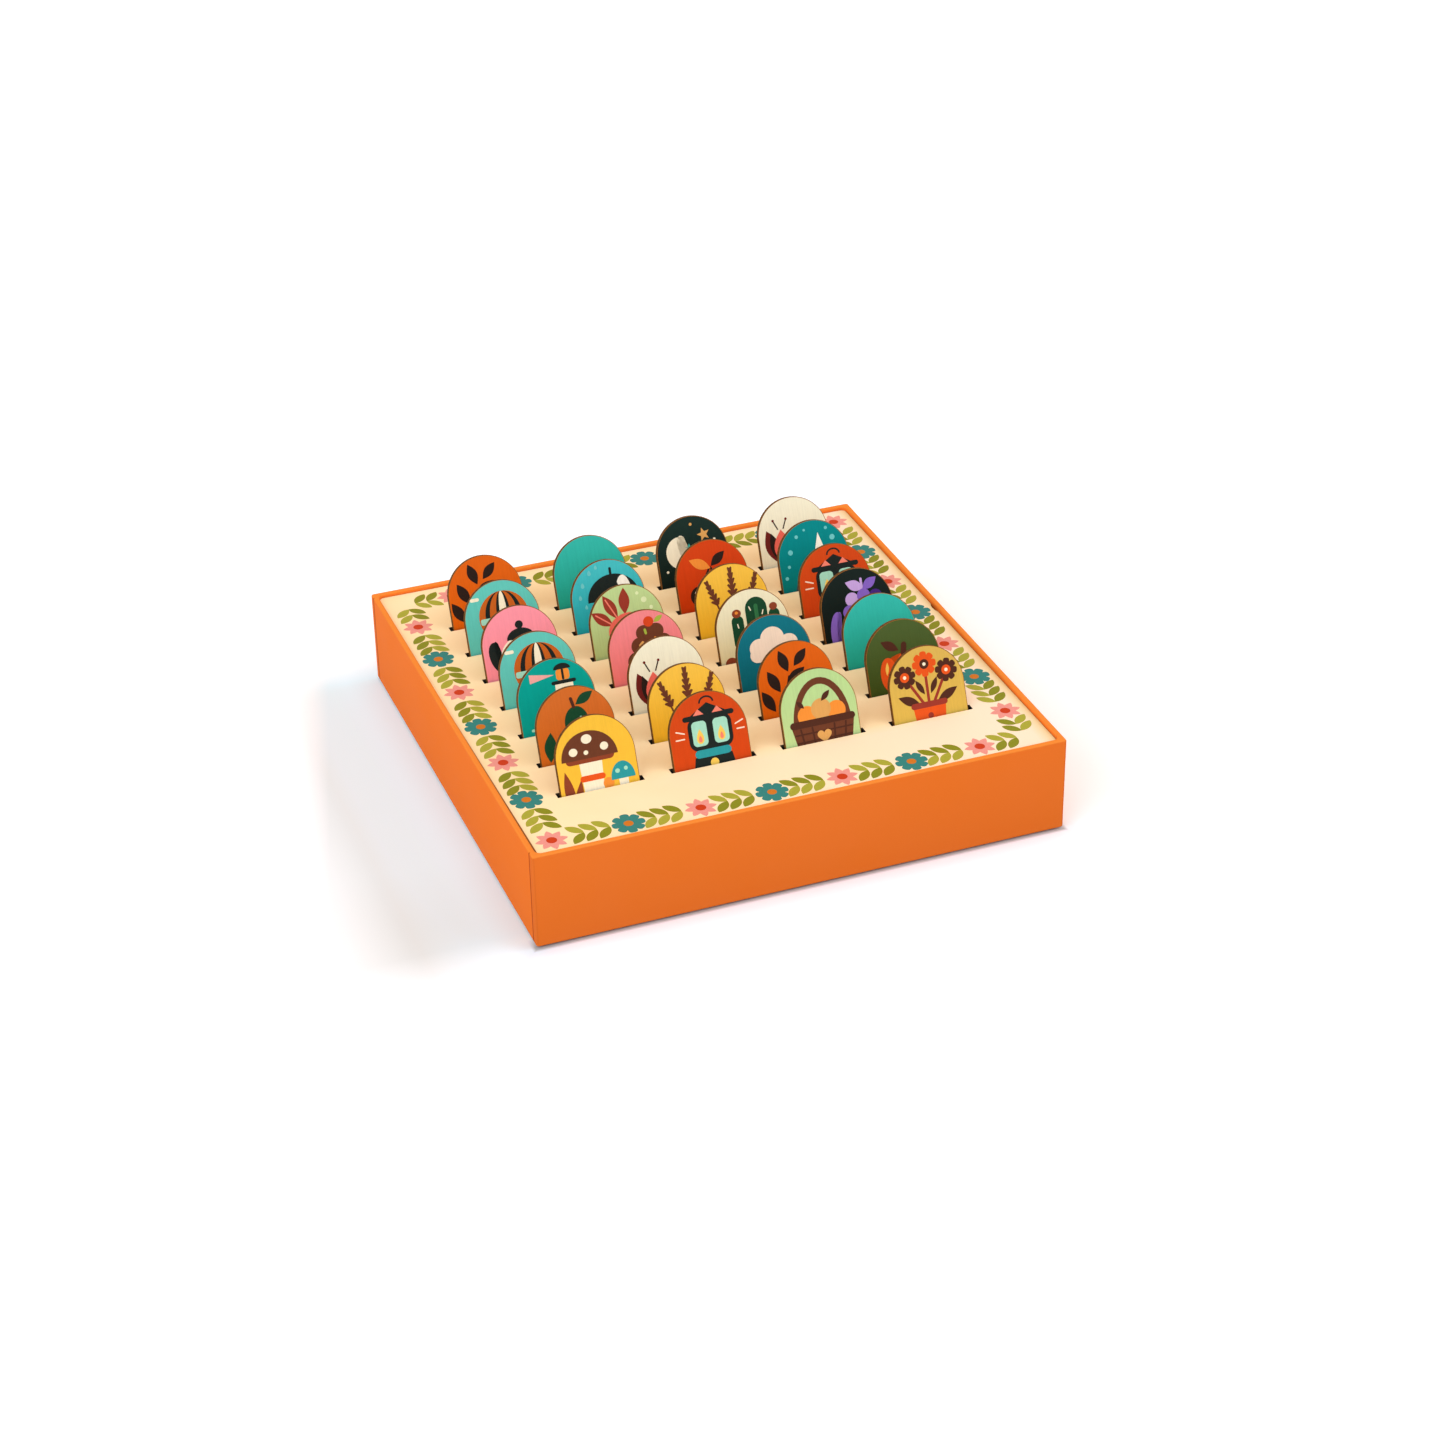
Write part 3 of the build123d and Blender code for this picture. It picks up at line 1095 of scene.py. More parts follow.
DRAWN = (
    Picture("twig", "#DD6315", "#DB6109", """pill ink_black -8 2 1.8 36 -16;
        leaf ink_black -16.2 8 5.6 13 28, -5.5 9 5.6 13 -58, -12 17.5 5.6 13 26, 0 18.5 5.6 13 -56,
        -5.5 27 5.4 12 18, 3.6 27.5 5 11 -44; disc cream 8 10 3, 11.5 14 3, 7.2 15 2.4"""),
    Picture("balloon", "#62C8BF", "#5DBFB3", """disc rust 1 17 27; disc black 1 17 20 27;
        disc rust 1 17 15 27; disc black 1 17 7.6 27; disc cream 1 17 4 27;
        bar mint 1 15.6 25.6 3.2; taper black 1 1.8 10 4.4; pill black -1.4 -2 0.8 6, 3.4 -2 0.8 6;
        bar rust 1 -6.6 8 6; pill cream -13.5 28 5 1.8, 13.5 8 6 1.8"""),
    Picture("teapot", "#FA97A9", "#F48D9B", """arch black 14 10 15 8 -90;
        crescent black -12.4 11 9 17 14; disc cream 1 10 24 21; dome black 1 21.6 15 5.6;
        disc black 1 26.2 4.2; pill black 1 11 23.4 2.6; disc black -5.6 5.6 3, 1 4.4 3, 7.6 5.6 3;
        leaf white -4.6 15.4 2.6 5.4 -40; bar black 1 -0.6 14 2.6; disc cream 1 -5 28 5.4"""),
    Picture("lighthouse", "#00A197", "#00998E", """wedge pink -6 27.8 4.6 13 -90;
        taper cream 5 3 13 40 180; block pink 5 15 9.4 3.4, 5 6 10.6 3.4, 5 -3 11.8 3.4;
        pill black 5 23.6 13 1.8; bar orange 5 27.4 7 5.6; pill black 5 27.4 1.2 5.6;
        dome black 5 31.6 9 3; disc black 5 19.2 2.4 3.4; pill mint -12 2 7 1.4, -13 -3 9 1.4"""),
    Picture("pear", "#D06C2B", "#CF671D", """disc green 2 6 23, 1 17.6 12.6 17;
        pill dark_brown 0 28 1.6 6 12; leaf green 6.4 29.4 4.8 11 -62, -14.4 8 6.4 15 -8;
        leaf mint -4.4 8 3 11 14; disc cream 6.4 2 1.6, 9 7.4 1.4, 4 -1.4 1.2;
        disc mint 3.4 20 1.4"""),
    Picture("toadstools", "#F2BF3D", "#F4BC3A", """leaf chestnut -15.6 0 5 22 6,
        -11.4 -4 4.4 20 -14; taper cream -3 0.6 12 31; pill chestnut -3 15.6 25 4.6;
        dome brown -3 22.2 29 13.6; disc cream -11 19.6 4.4 4, -3.4 25 5.4 4.6, 5 20 4.2 4,
        -4.6 18.4 2.4 2.2; pill red_orange -3 5.6 13 3; disc orange 4.6 1.4 5.6;
        taper cream 12.4 -4.6 5 17; dome sea 12.4 6.6 12.4 8.6; disc mint 9.8 6.4 2.4 2.2,
        14.2 7 2"""),
    Picture("waves", "#33B9AE", "#22A997", """dome sea_deep -12.6 -8 12.6 8, 0 -8 12.6 8,
        12.6 -8 12.6 8; pill mint -12.6 -13 10 1.2, 0 -13 10 1.2, 12.6 -13 10 1.2"""),
    Picture("umbrella", "#44BFC8", "#22ACBA", """pill black 3 4 1.8 34;
        arch black 0.2 -13 7.4 3.6 180; pill black 3 29.6 1.4 4.4; dome black 3 21.4 29 13.4;
        dome white 9 21 9 11.2; dome black 3 20.8 8 12; drop pale_teal -13.2 24.6 2 3,
        -8.6 30.6 2 3, -4.6 33 1.6 2.4, -15.4 18.4 1.8 2.8, -12.8 13 1.6 2.4"""),
    Picture("beetroot", "#BCD695", "#B4CC88", """leaf dark_red -13.2 20 6 14 52, -8 25.6 6 15 26,
        0 27.6 6 14 -4; pill salmon -12.4 19.6 0.7 11 52, -7.6 24.8 0.7 12 26;
        drop coral 1 7.4 21 28 196; pill dark_red 4 1.6 9 1 14, 1 8.4 12 1 12;
        leaf blush -4.4 12.4 2.4 8 24; disc orange 8.4 13.4 4; disc pale_green 10.8 26.4 3,
        14.2 21.8 2, 7.6 30.4 1.8"""),
    Picture("cupcake", "#F0898F", "#F67F80", """taper orange 3 -3 22; pill red -3.6 -3 1.6 20 5,
        3 -3 1.6 20, 9.6 -3 1.6 20 -5; pill brown 3 10.4 28 10, 3 18 22 9, 3 24.4 15 8;
        disc red 3 29.8 5.4; leaf sap 8.4 30.4 2.6 6 -62; pill orange -4.8 11.2 1.3 3.6 40;
        pill tan 2 13.4 1.3 3.6 -30; pill sap 9 10.2 1.3 3.6 15; pill tan -2.4 19 1.3 3.4 -50;
        pill orange 6 20 1.3 3.4 35; pill sap 0.6 25 1.3 3.2 10"""),
    Picture("tulip", "#F2EFD8", "#EBE7CD", """pill ink_black -7 -6 1.1 22;
        leaf dark_red -1.6 -4 4.2 17 -32; leaf wine -12.6 10.4 8.4 20 16, -1.4 10.4 8.4 20 -16;
        leaf ink_black -11.2 10 5.6 17 12, -2.8 10 5.6 17 -12; leaf coral -7 9.4 10 20;
        leaf pink -7 7.4 5 13; disc ink_black -7 5.6 2.6 4.4; pill ink_black -9.6 22 0.7 5.4 24,
        -4.4 22 0.7 5.4 -24; disc wine -10.8 24.8 1.4, -3.2 24.8 1.4"""),
    Picture("wheat", "#F3C248", "#F1B92B", """pill brown 1 4 0.9 36, -4.6 3 0.9 34 17,
        6.6 3 0.9 34 -17; ear brown 1 26.6 6 15, -10.6 22.4 5.6 14 20, 12.6 22.4 5.6 14 -20;
        leaf brown -3.4 6 2 13 42, 5.8 8.4 2 12 -38"""),
    Picture("lantern", "#CF4817", "#CE4512", """arch black 1 32.4 8 3.4;
        taper black 1 -5.4 27 19 180; wedge black 1 27.2 24 7; pill black 1 24 27 2.6;
        bar black 1 15.6 23 17; bar mint -4.6 15.8 7.8 12.6, 6.6 15.8 7.8 12.6;
        drop yellow -4.6 14.4 3.8 7.4, 6.6 14.4 3.8 7.4; drop salmon -4.6 13.2 1.8 3.6,
        6.6 13.2 1.8 3.6; wedge salmon -4 26.6 5.6 3, 6 26.6 5.6 3; pill sea 1 5.6 19 4;
        disc yellow 1 0.4 4.4; pill blush -14.6 18 5 0.7 -20, -15 14.6 5 0.7, 16.4 18 5 0.7 20,
        16.8 14.6 4.4 0.7"""),
    Picture("night", "#192E29", "#0F1F1B", """crescent cream -6.4 17 17 18 16;
        star tan 7.6 25 7.6 7.6 12; star turquoise 12 14.8 5.4 5.4 -8, -1.4 19 5;
        disc tan 1 31.6 1.6; disc cream 13.4 21.4 1.4, -15.6 8 1.4; dome chestnut 8 -4 22 19;
        dome tan -9 -8 20 15; dome turquoise 4 -12 24 8"""),
    Picture("cherries", "#D24315", "#CB3B08", """pill ink_black -4.4 15.4 1.1 14 -30,
        2 14.6 1.1 15 18; disc ink_black -8 7 11.4 11, 4.6 4.6 11.4 11; leaf orange -6 24 5.4 13 62;
        leaf ink_black 4.4 25.4 5 11 -52; disc cream -10 9 2 2.6 -30, 2.6 6.6 2 2.6 -30"""),
    Picture("cactus", "#EEE9CB", "#E3D9AC", """pill green 3 7.6 12 48, -8 14.6 6.6 18;
        bar green -3 8.6 13 5.6; pill green 12.6 16.6 6 15; bar green 8.6 12 10 5;
        pill mid_green 3 7 2.2 42; pill cream -0.4 26 0.6 2.6 20, 6.4 23 0.6 2.6 -20,
        -0.4 17.6 0.6 2.6 20, 6.4 5 0.6 2.6 -20, -8 18 0.6 2.6 10, 12.6 19 0.6 2.6 -10;
        disc chestnut -8 24.6 5 4.4, 12.6 25 4.4 4, -14.4 -1 7, -15.6 -9 6;
        disc orange -8 25 1.8 1.6"""),
    Picture("cloud", "#0F7385", "#056677", """disc blush -7.4 20 11 10, 0 24 13 12, 8.6 20.4 10 9;
        pill blush 0.4 16.6 27 7.6; pill chestnut 2.4 18.4 7 0.8 12; drop blush -9 6.4 2.6 5,
        -2.6 3 2.6 5, 4 7 2.6 5, 10.4 3.4 2.6 5, -6 -4 2.6 5"""),
    Picture("basket", "#B6D894", "#B9D591", """arch brown 1 19.6 31 24; disc orange -6.8 13.4 10,
        9 13.4 10; disc tan 1 15.6 10.6; leaf dark_brown 4.2 21.8 2.8 7 -48, -9.6 19.4 2.4 5.4 42;
        taper brown 1 -2.4 34 24; pill dark_brown 1 9.4 35 3.6, 1 4.4 31.4 0.8, 1 0.4 30 0.8,
        1 -3.6 28.6 0.8, -10 -1 0.9 17 8, -4.4 -1 0.9 17 4, 6.4 -1 0.9 17 -4, 12 -1 0.9 17 -8;
        heart tan 1 1.4 7.6 6.8"""),
    Picture("peaks", "#00898E", "#007D7F", """wedge slate -8.6 -3 21 28, 4 7 26 44;
        cap mint -8.6 6.4 7 9.4; cap white 4 21 9.4 16; disc pale_teal -13 20.6 2.8, -8.4 28.4 2,
        -14.8 13 1.8, -3.6 31.4 1.4, 12 25 3, 9 30.6 1.8, -17 7 2, 15.6 17 1.8"""),
    Picture("grapes", "#15211E", "#0D1815", """crescent purple -12.6 5 8 20 -6;
        pill lilac 4 27.6 1.4 6; leaf lilac 0 27 5.6 11 64; leaf purple 8.4 27 5.2 10 -58;
        disc lilac -2.4 20 7.4; disc purple 4.4 21 7.4; disc deep_purple 11 19.6 7.4;
        disc purple -4.6 13.6 7.4; disc deep_purple 1.6 14.4 7.4; disc lilac 8.2 13.8 7.4;
        disc purple 14 13 6.4; disc lilac -1.6 7.6 7.4; disc purple 5 7.8 7.4;
        disc deep_purple 11.2 7.6 6.8, 1.6 1.4 7.2; disc lilac 8 1.6 7; disc purple 4.6 -4.6 7"""),
    Picture("pumpkin", "#4A5E2E", "#3F511B", """disc deep_orange 1.4 9 29 20;
        disc red_orange -8.6 9 9.4 17.4, 11.4 9 9.4 17.4, 1.4 9 11.4 21;
        pill dark_brown 1 20.8 3 7.4 -10; leaf dark_brown -6.4 23.4 4.8 11 58;
        leaf yellow -9.4 12 1.8 7 -8, -1 13 1.8 7 -4"""),
    Picture("poppies", "#D6B157", "#D7B24F", """pill dark_red -6.6 13.6 1.5 19 30, 0 15 1.5 18,
        6.6 13.6 1.5 19 -30; leaf dark_brown -10.4 9.6 4.6 13 64, 10.4 9.6 4.6 13 -64,
        -3.8 15.6 3 9 28, 3.8 15.6 3 9 -28; taper red_orange 0 -4.6 18 22; pill dark_red 0 6.4 20 3;
        disc dark_red 0 0.6 3; rosette dark_brown -11.4 22 12 12 10, 11.4 22 12 12 -10;
        rosette red_orange 0 27 13; disc red_orange -11.4 22 5, 11.4 22 5; disc dark_brown 0 27 5;
        disc cream -11.4 22 1.8, 11.4 22 1.8, 0 27 1.8"""),
)
PICTURES = {picture.name: picture for picture in DRAWN}

# Row 1 is the back row and column 1 is on the left.
LAYOUT = (
    ("twig", "waves", "night", "tulip"),
    ("balloon", "umbrella", "cherries", "peaks"),
    ("teapot", "beetroot", "wheat", "lantern"),
    ("balloon", "cupcake", "cactus", "grapes"),
    ("lighthouse", "tulip", "cloud", "waves"),
    ("pear", "wheat", "twig", "pumpkin"),
    ("toadstools", "lantern", "basket", "poppies"),
)


class CardSlot(IntEnum):
    """The material slots of a card."""

    PRINT = 0
    EDGE = 1
    MARGIN = 2
    BACK = 3

    def give(self, card: bpy.types.Object) -> None:
        """Gives the selected faces this slot."""
        card.active_material_index = self.value
        bpy.ops.object.material_slot_assign()


@dataclass(frozen=True)
class CardShape:
    """The arch-topped card, as the frame gives it.

    Attributes:
        width: Its width in metres.
        height: Its height along its face.
        thickness: Its thickness.
        lean: How far it leans back, in radians.
        margin: The width of the scorched line inside its edge.
        arris: How much of its arris is gone.
        arch_sides: Twice the number of flat sides that its arch is made of.
        arris_steps: How many flat sides its rounded arris has.
    """

    width: float
    height: float
    thickness: float
    lean: float
    margin: float = 0.25 * MM
    arris: float = 0.12 * MM
    arch_sides: int = 96
    arris_steps: int = 2

    @classmethod
    def from_frame(cls, node: str) -> "CardShape":
        """Reads the card's sizes from its node's box and its joint's axis.

        Args:
            node: A card's node.

        Returns:
            The card's shape.
        """
        low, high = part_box(node)
        _, s, c = next(j["axis"] for j in frame["joints"] if j["child"] == node)
        deep, tall = high.y - low.y, high.z - low.z
        square = c * c - s * s
        height, thickness = (c * tall - s * deep) / square, (c * deep - s * tall) / square
        return cls(high.x - low.x, height, thickness, atan2(s, c))

    def upright(self) -> bpy.types.Object:
        """The card standing on its foot, its face at z 0 and its back below, its slots filled.

        Returns:
            The card. The print's slot is left for the picture's own ground.
        """
        radius = self.width / 2
        spring = self.height - radius

        def on_spring(edge: bmesh.types.BMEdge) -> bool:
            """Says whether the edge lies where the arch starts."""
            return all(abs(v.co.y - spring) < NEAR for v in edge.verts)

        def on_rim(edge: bmesh.types.BMEdge) -> bool:
            """Says whether the edge goes round the face or the back."""
            levels = (0.0, -self.thickness)
            return any(all(abs(v.co.z - z) < CLOSE for v in edge.verts) for z in levels)

        choose()
        bpy.ops.mesh.primitive_circle_add(
            vertices=self.arch_sides, radius=radius, fill_type="NGON", location=(0, spring, 0)
        )
        card = bpy.context.object
        bpy.ops.object.transform_apply(location=True)
        bpy.ops.object.mode_set(mode="EDIT")
        bpy.ops.mesh.select_all(action="SELECT")
        bpy.ops.mesh.bisect(plane_co=(0, spring, 0), plane_no=(0, 1, 0), clear_inner=True)
        Element.EDGE.select(card, on_spring)
        bpy.ops.mesh.extrude_edges_move(TRANSFORM_OT_translate={"value": (0, -spring, 0)})
        bpy.ops.mesh.select_all(action="SELECT")
        bpy.ops.mesh.remove_doubles(threshold=CLOSE)
        Element.EDGE.select(card, on_spring)
        bpy.ops.mesh.dissolve_edges(use_verts=False)
        thicken(-self.thickness)
        for finish in (BACK, EDGE, SCORCH, BACK):
            card.data.materials.append(finish.material())
        Element.FACE.select(card, lambda f: abs(f.normal.z) < 0.5)
        CardSlot.EDGE.give(card)
        Element.FACE.select(card, lambda f: f.normal.z > 0.5)
        CardSlot.PRINT.give(card)
        Element.FACE.select(card, lambda f: f.normal.z < -0.5)
        CardSlot.BACK.give(card)
        Element.EDGE.select(card, on_rim)
        rounding = {"offset": self.arris, "segments": self.arris_steps, "affect": "EDGES"}
        bpy.ops.mesh.bevel(**rounding, material=CardSlot.EDGE.value)
        Element.FACE.select(
            card, lambda f: f.normal.z > 0.99 and abs(f.calc_center_median().z) < CLOSE
        )
        CardSlot.MARGIN.give(card)
        bpy.ops.mesh.inset(thickness=self.margin, use_even_offset=True)
        CardSlot.PRINT.give(card)
        bpy.ops.object.mode_set(mode="OBJECT")
        return card

    def foot(self, node: str) -> Vector:
        """The middle of the foot of a card's face, from its node's box."""
        low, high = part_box(node)
        return Vector(((low.x + high.x) / 2, low.y, low.z + self.thickness * sin(self.lean)))

    def seat(self, node: str) -> Matrix:
        """Where a card's own frame lies.

        Args:
            node: The card's node.

        Returns:
            The matrix that takes it there.
        """
        c, s = cos(self.lean), sin(self.lean)
        turn = Matrix(((1, 0, 0), (0, s, -c), (0, c, s)))
        return Matrix.Translation(self.foot(node)) @ turn.to_4x4()

    def deck_line(self, node: str) -> float:
        """How far up a card's face the deck's top is, in metres."""
        return (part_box("deck_print")[1].z - self.foot(node).z) / cos(self.lean)


@dataclass
class CardSet:
    """The leaning picture cards: each one birch plywood with its print on it.

    Attributes:
        press: What prints the marks.
        shape: The card's shape.
        inks: The finish of each ink on plywood.
        grain_step: How much further on each row's and column's grain is cut, in metres.
    """

    press: Press
    shape: CardShape = field(default_factory=lambda: CardShape.from_frame("card_r1c1"))
    inks: dict[str, Finish] = field(
        default_factory=lambda: {
            name: PrintedPly(f"ply_ink_{name}", ink, ink) for name, ink in CARD_INKS.items()
        }
    )
    grain_step: float = 0.1

    def build(self) -> None:
        """Builds every card and its print."""
        pattern = self.shape.upright()
        for row, names in enumerate(LAYOUT, 1):
            for column, name in enumerate(names, 1):
                grain = Vector((column, 0.0, row)) * self.grain_step
                self.card(pattern, f"card_r{row}c{column}", PICTURES[name], grain)
        bpy.data.objects.remove(pattern)

    def card(self, pattern: bpy.types.Object, node: str, picture: Picture, grain: Vector) -> None:
        """Makes one card and its print, in the slot of its node.

        Args:
            pattern: The upright card to copy.
            node: The card's node, which is also its body.
            picture: What is printed on it.
            grain: Where its grain is cut from, so that it differs from its neighbour's.
        """
        wood = pattern.copy()
        wood.data = pattern.data.copy()
        wood.name = f"{node}_plywood"
        bpy.context.scene.collection.objects.link(wood)
        wood.data.materials[CardSlot.PRINT] = picture.ground().material()
        name = f"{node}_print_{picture.name}"
        ink = self.press.lay(name, picture.marks(), self.inks, self.shape.deck_line(node) / MM)
        for piece in (wood, ink):
            kept = piece.data.attributes.new(OWN_PLACE, "FLOAT_VECTOR", "POINT")
            places = [c for v in piece.data.vertices for c in v.co + grain]
            kept.data.foreach_set("vector", places)
            choose(piece)
            piece.matrix_world = self.shape.seat(node)
            bpy.ops.object.transform_apply(location=True, rotation=True, scale=True)
            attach(piece, node)
        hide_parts(node)
        LOG.info("%s: %s", node, picture.name)


DECK_INKS = {
    "teal": "#347F7A",
    "amber": "#CE7322",
    "rose": "#E9958C",
    "scarlet": "#C83C18",
    "lime": "#A8A338",
    "moss": "#87871F",
}


@dataclass
class Garland:
    """The flower border printed round the deck, turned half round on itself.

    Flowers stand at even steps along a square, each followed by a sprig of leaf pairs. Two sides
    start from the front left corner and two from the back right one. Lengths are in millimetres.

    Attributes:
        press: What prints the marks.
        line: From the deck's middle to the flowers' line.
        first_step: From the corner flower to the next one.
        step: From flower to flower after that.
        flowers: How many flowers stand along a side.
        pairs: How many leaf pairs follow a flower.
        last_pairs: How many follow the last one.
        first_pair: From a flower to the tips of the first leaf pair.
        corner_gap: How much more that is at the corner flower.
        pair_step: From leaf pair to leaf pair.
        leaf_run: From a pair's tips to the joint where its leaves meet.
        joint: From the flowers' line to that joint, towards the deck's middle.
        inner_leaf: From the flowers' line to an inner leaf's tip, and the leaf's width.
        outer_leaf: The same for an outer leaf, whose tip is on the other side.
        rose: The width of a pointed flower and of its middle.
        teal: The width of a round-petalled flower and of its middle.
        register: How far off the deck's middle the sheet is printed.
    """

    press: Press
    line: float = 125.5
    first_step: float = 38.9
    step: float = 37.1
    flowers: int = 7
    pairs: int = 3
    last_pairs: int = 2
    first_pair: float = 6.65
    corner_gap: float = 2.4
    pair_step: float = 6.65
    leaf_run: float = 7.4
    joint: float = 0.6
    inner_leaf: Pair = (8.3, 4.9)
    outer_leaf: Pair = (-7.4, 5.1)
    rose: Pair = (16.6, 5.3)
    teal: Pair = (16.8, 4.8)
    register: Pair = (-0.2, -0.5)

    def side(self, inner_left: bool) -> list[Mark]:
        """The marks of one side that runs along +x from the corner flower at 0.

        Args:
            inner_left: True if the deck's middle is on the left of the run.

        Returns:
            The marks, the flowers' line being y 0.
        """
        hand = 1 if inner_left else -1
        marks = []
        for k in range(self.flowers):
            x = self.first_step + (k - 1) * self.step if k else 0.0
            rose = k % 2 == 0
            if k or inner_left:
                marks += self.flower(x, rose)
            inner, outer = ("lime", "moss") if rose == inner_left else ("moss", "lime")
            first = x + self.first_pair + (0.0 if k else self.corner_gap)
            for pair in range(self.last_pairs if k == self.flowers - 1 else self.pairs):
                tips = first + pair * self.pair_step
                marks.append(self.leaf(inner, tips, hand, *self.inner_leaf))
                marks.append(self.leaf(outer, tips, hand, *self.outer_leaf))
        return marks

    def flower(self, x: float, rose: bool) -> list[Mark]:
        """A flower head and its middle.

        Args:
            x: Where it is along the side.
            rose: True for a pointed flower, False for a round-petalled one.

        Returns:
            The two marks.
        """
        head, middle = self.rose if rose else self.teal
        form, ink = (Outline.BURST, "rose") if rose else (Outline.ROSETTE, "teal")
        heart = "scarlet" if rose else "amber"
        return [
            Mark(form, ink, x, 0, head, head),
            Mark(Outline.DISC, heart, x, 0, middle, middle),
        ]

    def leaf(self, ink: str, tips: float, hand: int, across: float, wide: float) -> Mark:
        """A leaf from its joint on the stem to its tip.

        Args:
            ink: Its ink.
            tips: Where its pair's tips are along the side.
            hand: 1 if the deck's middle is on the left of the run, or -1.
            across: From the flowers' line to the tip, towards the deck's middle.
            wide: Its width.

        Returns:
            The leaf.
        """
        base = Vector((tips + self.leaf_run, self.joint * hand))
        tip = Vector((tips, across * hand))
        middle, span = (base + tip) / 2, tip - base
        turn = degrees(atan2(span.y, span.x)) - 90
        return Mark(Outline.LENS, ink, middle.x, middle.y, wide, span.length, turn)

    def build(self) -> None:
        """Prints the whole border on the deck."""
        finishes: dict[str, Finish] = {
            name: PaperInk(f"deck_ink_{name}", ink) for name, ink in DECK_INKS.items()
        }
        deck_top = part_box("deck_print")[1].z / MM
        sides = []
        for end in (1, -1):
            for inner_left in (True, False):
                strip = self.press.lay("strip", self.side(inner_left), finishes)
                turn = radians((0.0 if end == 1 else 180.0) + (0.0 if inner_left else 90.0))
                corner = Vector((-self.line, -self.line, 0)) * end
                corner += Vector((*self.register, deck_top))
                strip.data.transform(
                    Matrix.Translation(corner * MM) @ Matrix.Rotation(turn, 4, "Z")
                )
                sides.append(strip)
        garland = join(sides, "deck_garland_print")
        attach(garland, "platform")
        LOG.info("garland: %d faces", len(garland.data.polygons))


@dataclass
class Wrap:
    """The tray's wrap paper, rounded at the foot, the corners and the rim, and its base sheet.

    Lengths are in millimetres.

    Attributes:
        half: From the tray's middle to the outside.
        height: The tray's height.
        paper: The paper's thickness.
        wall: The wall's thickness with its papers.
        corner: The outside corners' radius.
        inner_corner: The inside corners' radius.
        rim: The rim's radius.
        foot: The radius of the lowest edge.
        turn_in: How far the paper goes down inside.
        base_gap: How far inside the foot the base sheet ends.
        corner_steps: How many flat sides a rounded corner has.
        round_steps: How many flat sides the rim's and the foot's quarter rounds have.
        smooth_below: The angle between faces, in degrees, below which they shade smooth.
    """

    half: float = 140.0
    height: float = 51.5
    paper: float = 0.3
    wall: float = 3.0
    corner: float = 1.0
    inner_corner: float = 3.4
    rim: float = 0.8
    foot: float = 0.95
    turn_in: float = 16.0
    base_gap: float = 0.02
    corner_steps: int = 6
    round_steps: int = 4
    smooth_below: float = 35.0

    def build(self) -> None:
        """Builds both papers."""
        pieces = [self.side_paper(), self.base_sheet()]
        for piece, node in zip(pieces, ("side_wrap", "base_paper")):
            piece.data.materials.append(WRAP.material())
            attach(piece, "tray")
            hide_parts(node)
            LOG.info("%s: %d faces", piece.name, len(piece.data.polygons))

    def sheet(self, half: float, corner: float, level: float) -> bpy.types.Object:
        """A square sheet with rounded corners, left in edit mode.

        Args:
            half: Half its side, in millimetres.
            corner: Its corners' radius.
            level: Its height.

        Returns:
            The sheet.
        """
        choose()
        bpy.ops.mesh.primitive_plane_add(size=2 * half * MM, location=(0, 0, level * MM))
        sheet = bpy.context.object
        bpy.ops.object.transform_apply(location=True)
        bpy.ops.object.mode_set(mode="EDIT")
        bpy.ops.mesh.select_all(action="SELECT")
        bpy.ops.mesh.bevel(offset=corner * MM, segments=self.corner_steps, affect="VERTICES")
        return sheet

    def sweep(self, corner: float, section: Sequence[Pair]) -> bpy.types.Object:
        """A square sleeve with rounded corners, from the loops that a section's points give.

        Args:
            corner: Its corners' radius at the first point, in millimetres.
            section: The half side and the height at each point.

        Returns:
            The sleeve, open at both ends.
        """
        (half, level), *route = section
        sleeve = self.sheet(half, corner, level)
        bpy.ops.mesh.delete(type="ONLY_FACE")
        bpy.ops.mesh.select_all(action="SELECT")
        for next_half, next_level in route:
            rise = (0, 0, (next_level - level) * MM)
            bpy.ops.mesh.extrude_edges_move(TRANSFORM_OT_translate={"value": rise})
            share = next_half / half
            bpy.ops.transform.resize(value=(share, share, 1), center_override=(0, 0, 0))
            half, level = next_half, next_level
        bpy.ops.object.mode_set(mode="OBJECT")
        return sleeve

    def side_paper(self) -> bpy.types.Object:
        """The paper round the walls, over the rim and down inside."""
        foot, rim, top = self.foot, self.rim, self.height
        outside, inside = self.half, self.half - self.wall
        under_rim, end = top - self.paper, top - self.turn_in
        arc = [radians(90.0 * i / self.round_steps) for i in range(self.round_steps + 1)]
        outer_section = [(outside - foot, 0.0)]
        outer_section += [
            (outside - foot + foot * sin(a), foot - foot * cos(a)) for a in arc[1:]
        ]
        outer_section += [(outside - rim + rim * cos(a), top - rim + rim * sin(a)) for a in arc]
        inner_section = [(inside + rim, top)]
        inner_section += [
            (inside + rim - rim * sin(a), top - rim + rim * cos(a)) for a in arc[1:]
        ]
        inner_section += [
            (inside, end),
            (inside + self.paper, end),
            (inside + self.paper, under_rim),
            (outside - self.paper, under_rim),
            (outside - self.paper, self.paper),
            (outside - foot, self.paper),
        ]
        outer = self.sweep(self.corner, outer_section)
        lining = self.sweep(self.inner_corner, inner_section)
        paper = join((outer, lining), "side_wrap_paper")
        bpy.ops.object.mode_set(mode="EDIT")
        self.bridge(paper, top, top)
        self.bridge(paper, 0.0, self.paper)
        bpy.ops.mesh.select_all(action="SELECT")
        bpy.ops.mesh.normals_make_consistent(inside=False)
        choose(paper)
        bpy.ops.object.shade_smooth_by_angle(angle=radians(self.smooth_below))
        return paper

    @staticmethod
    def bridge(piece: bpy.types.Object, low: float, high: float) -> None:
        """Closes a piece in edit mode between two open loops.

        Args:
            piece: The piece.
            low: The lower loop's height, in millimetres.
            high: The upper loop's.
        """

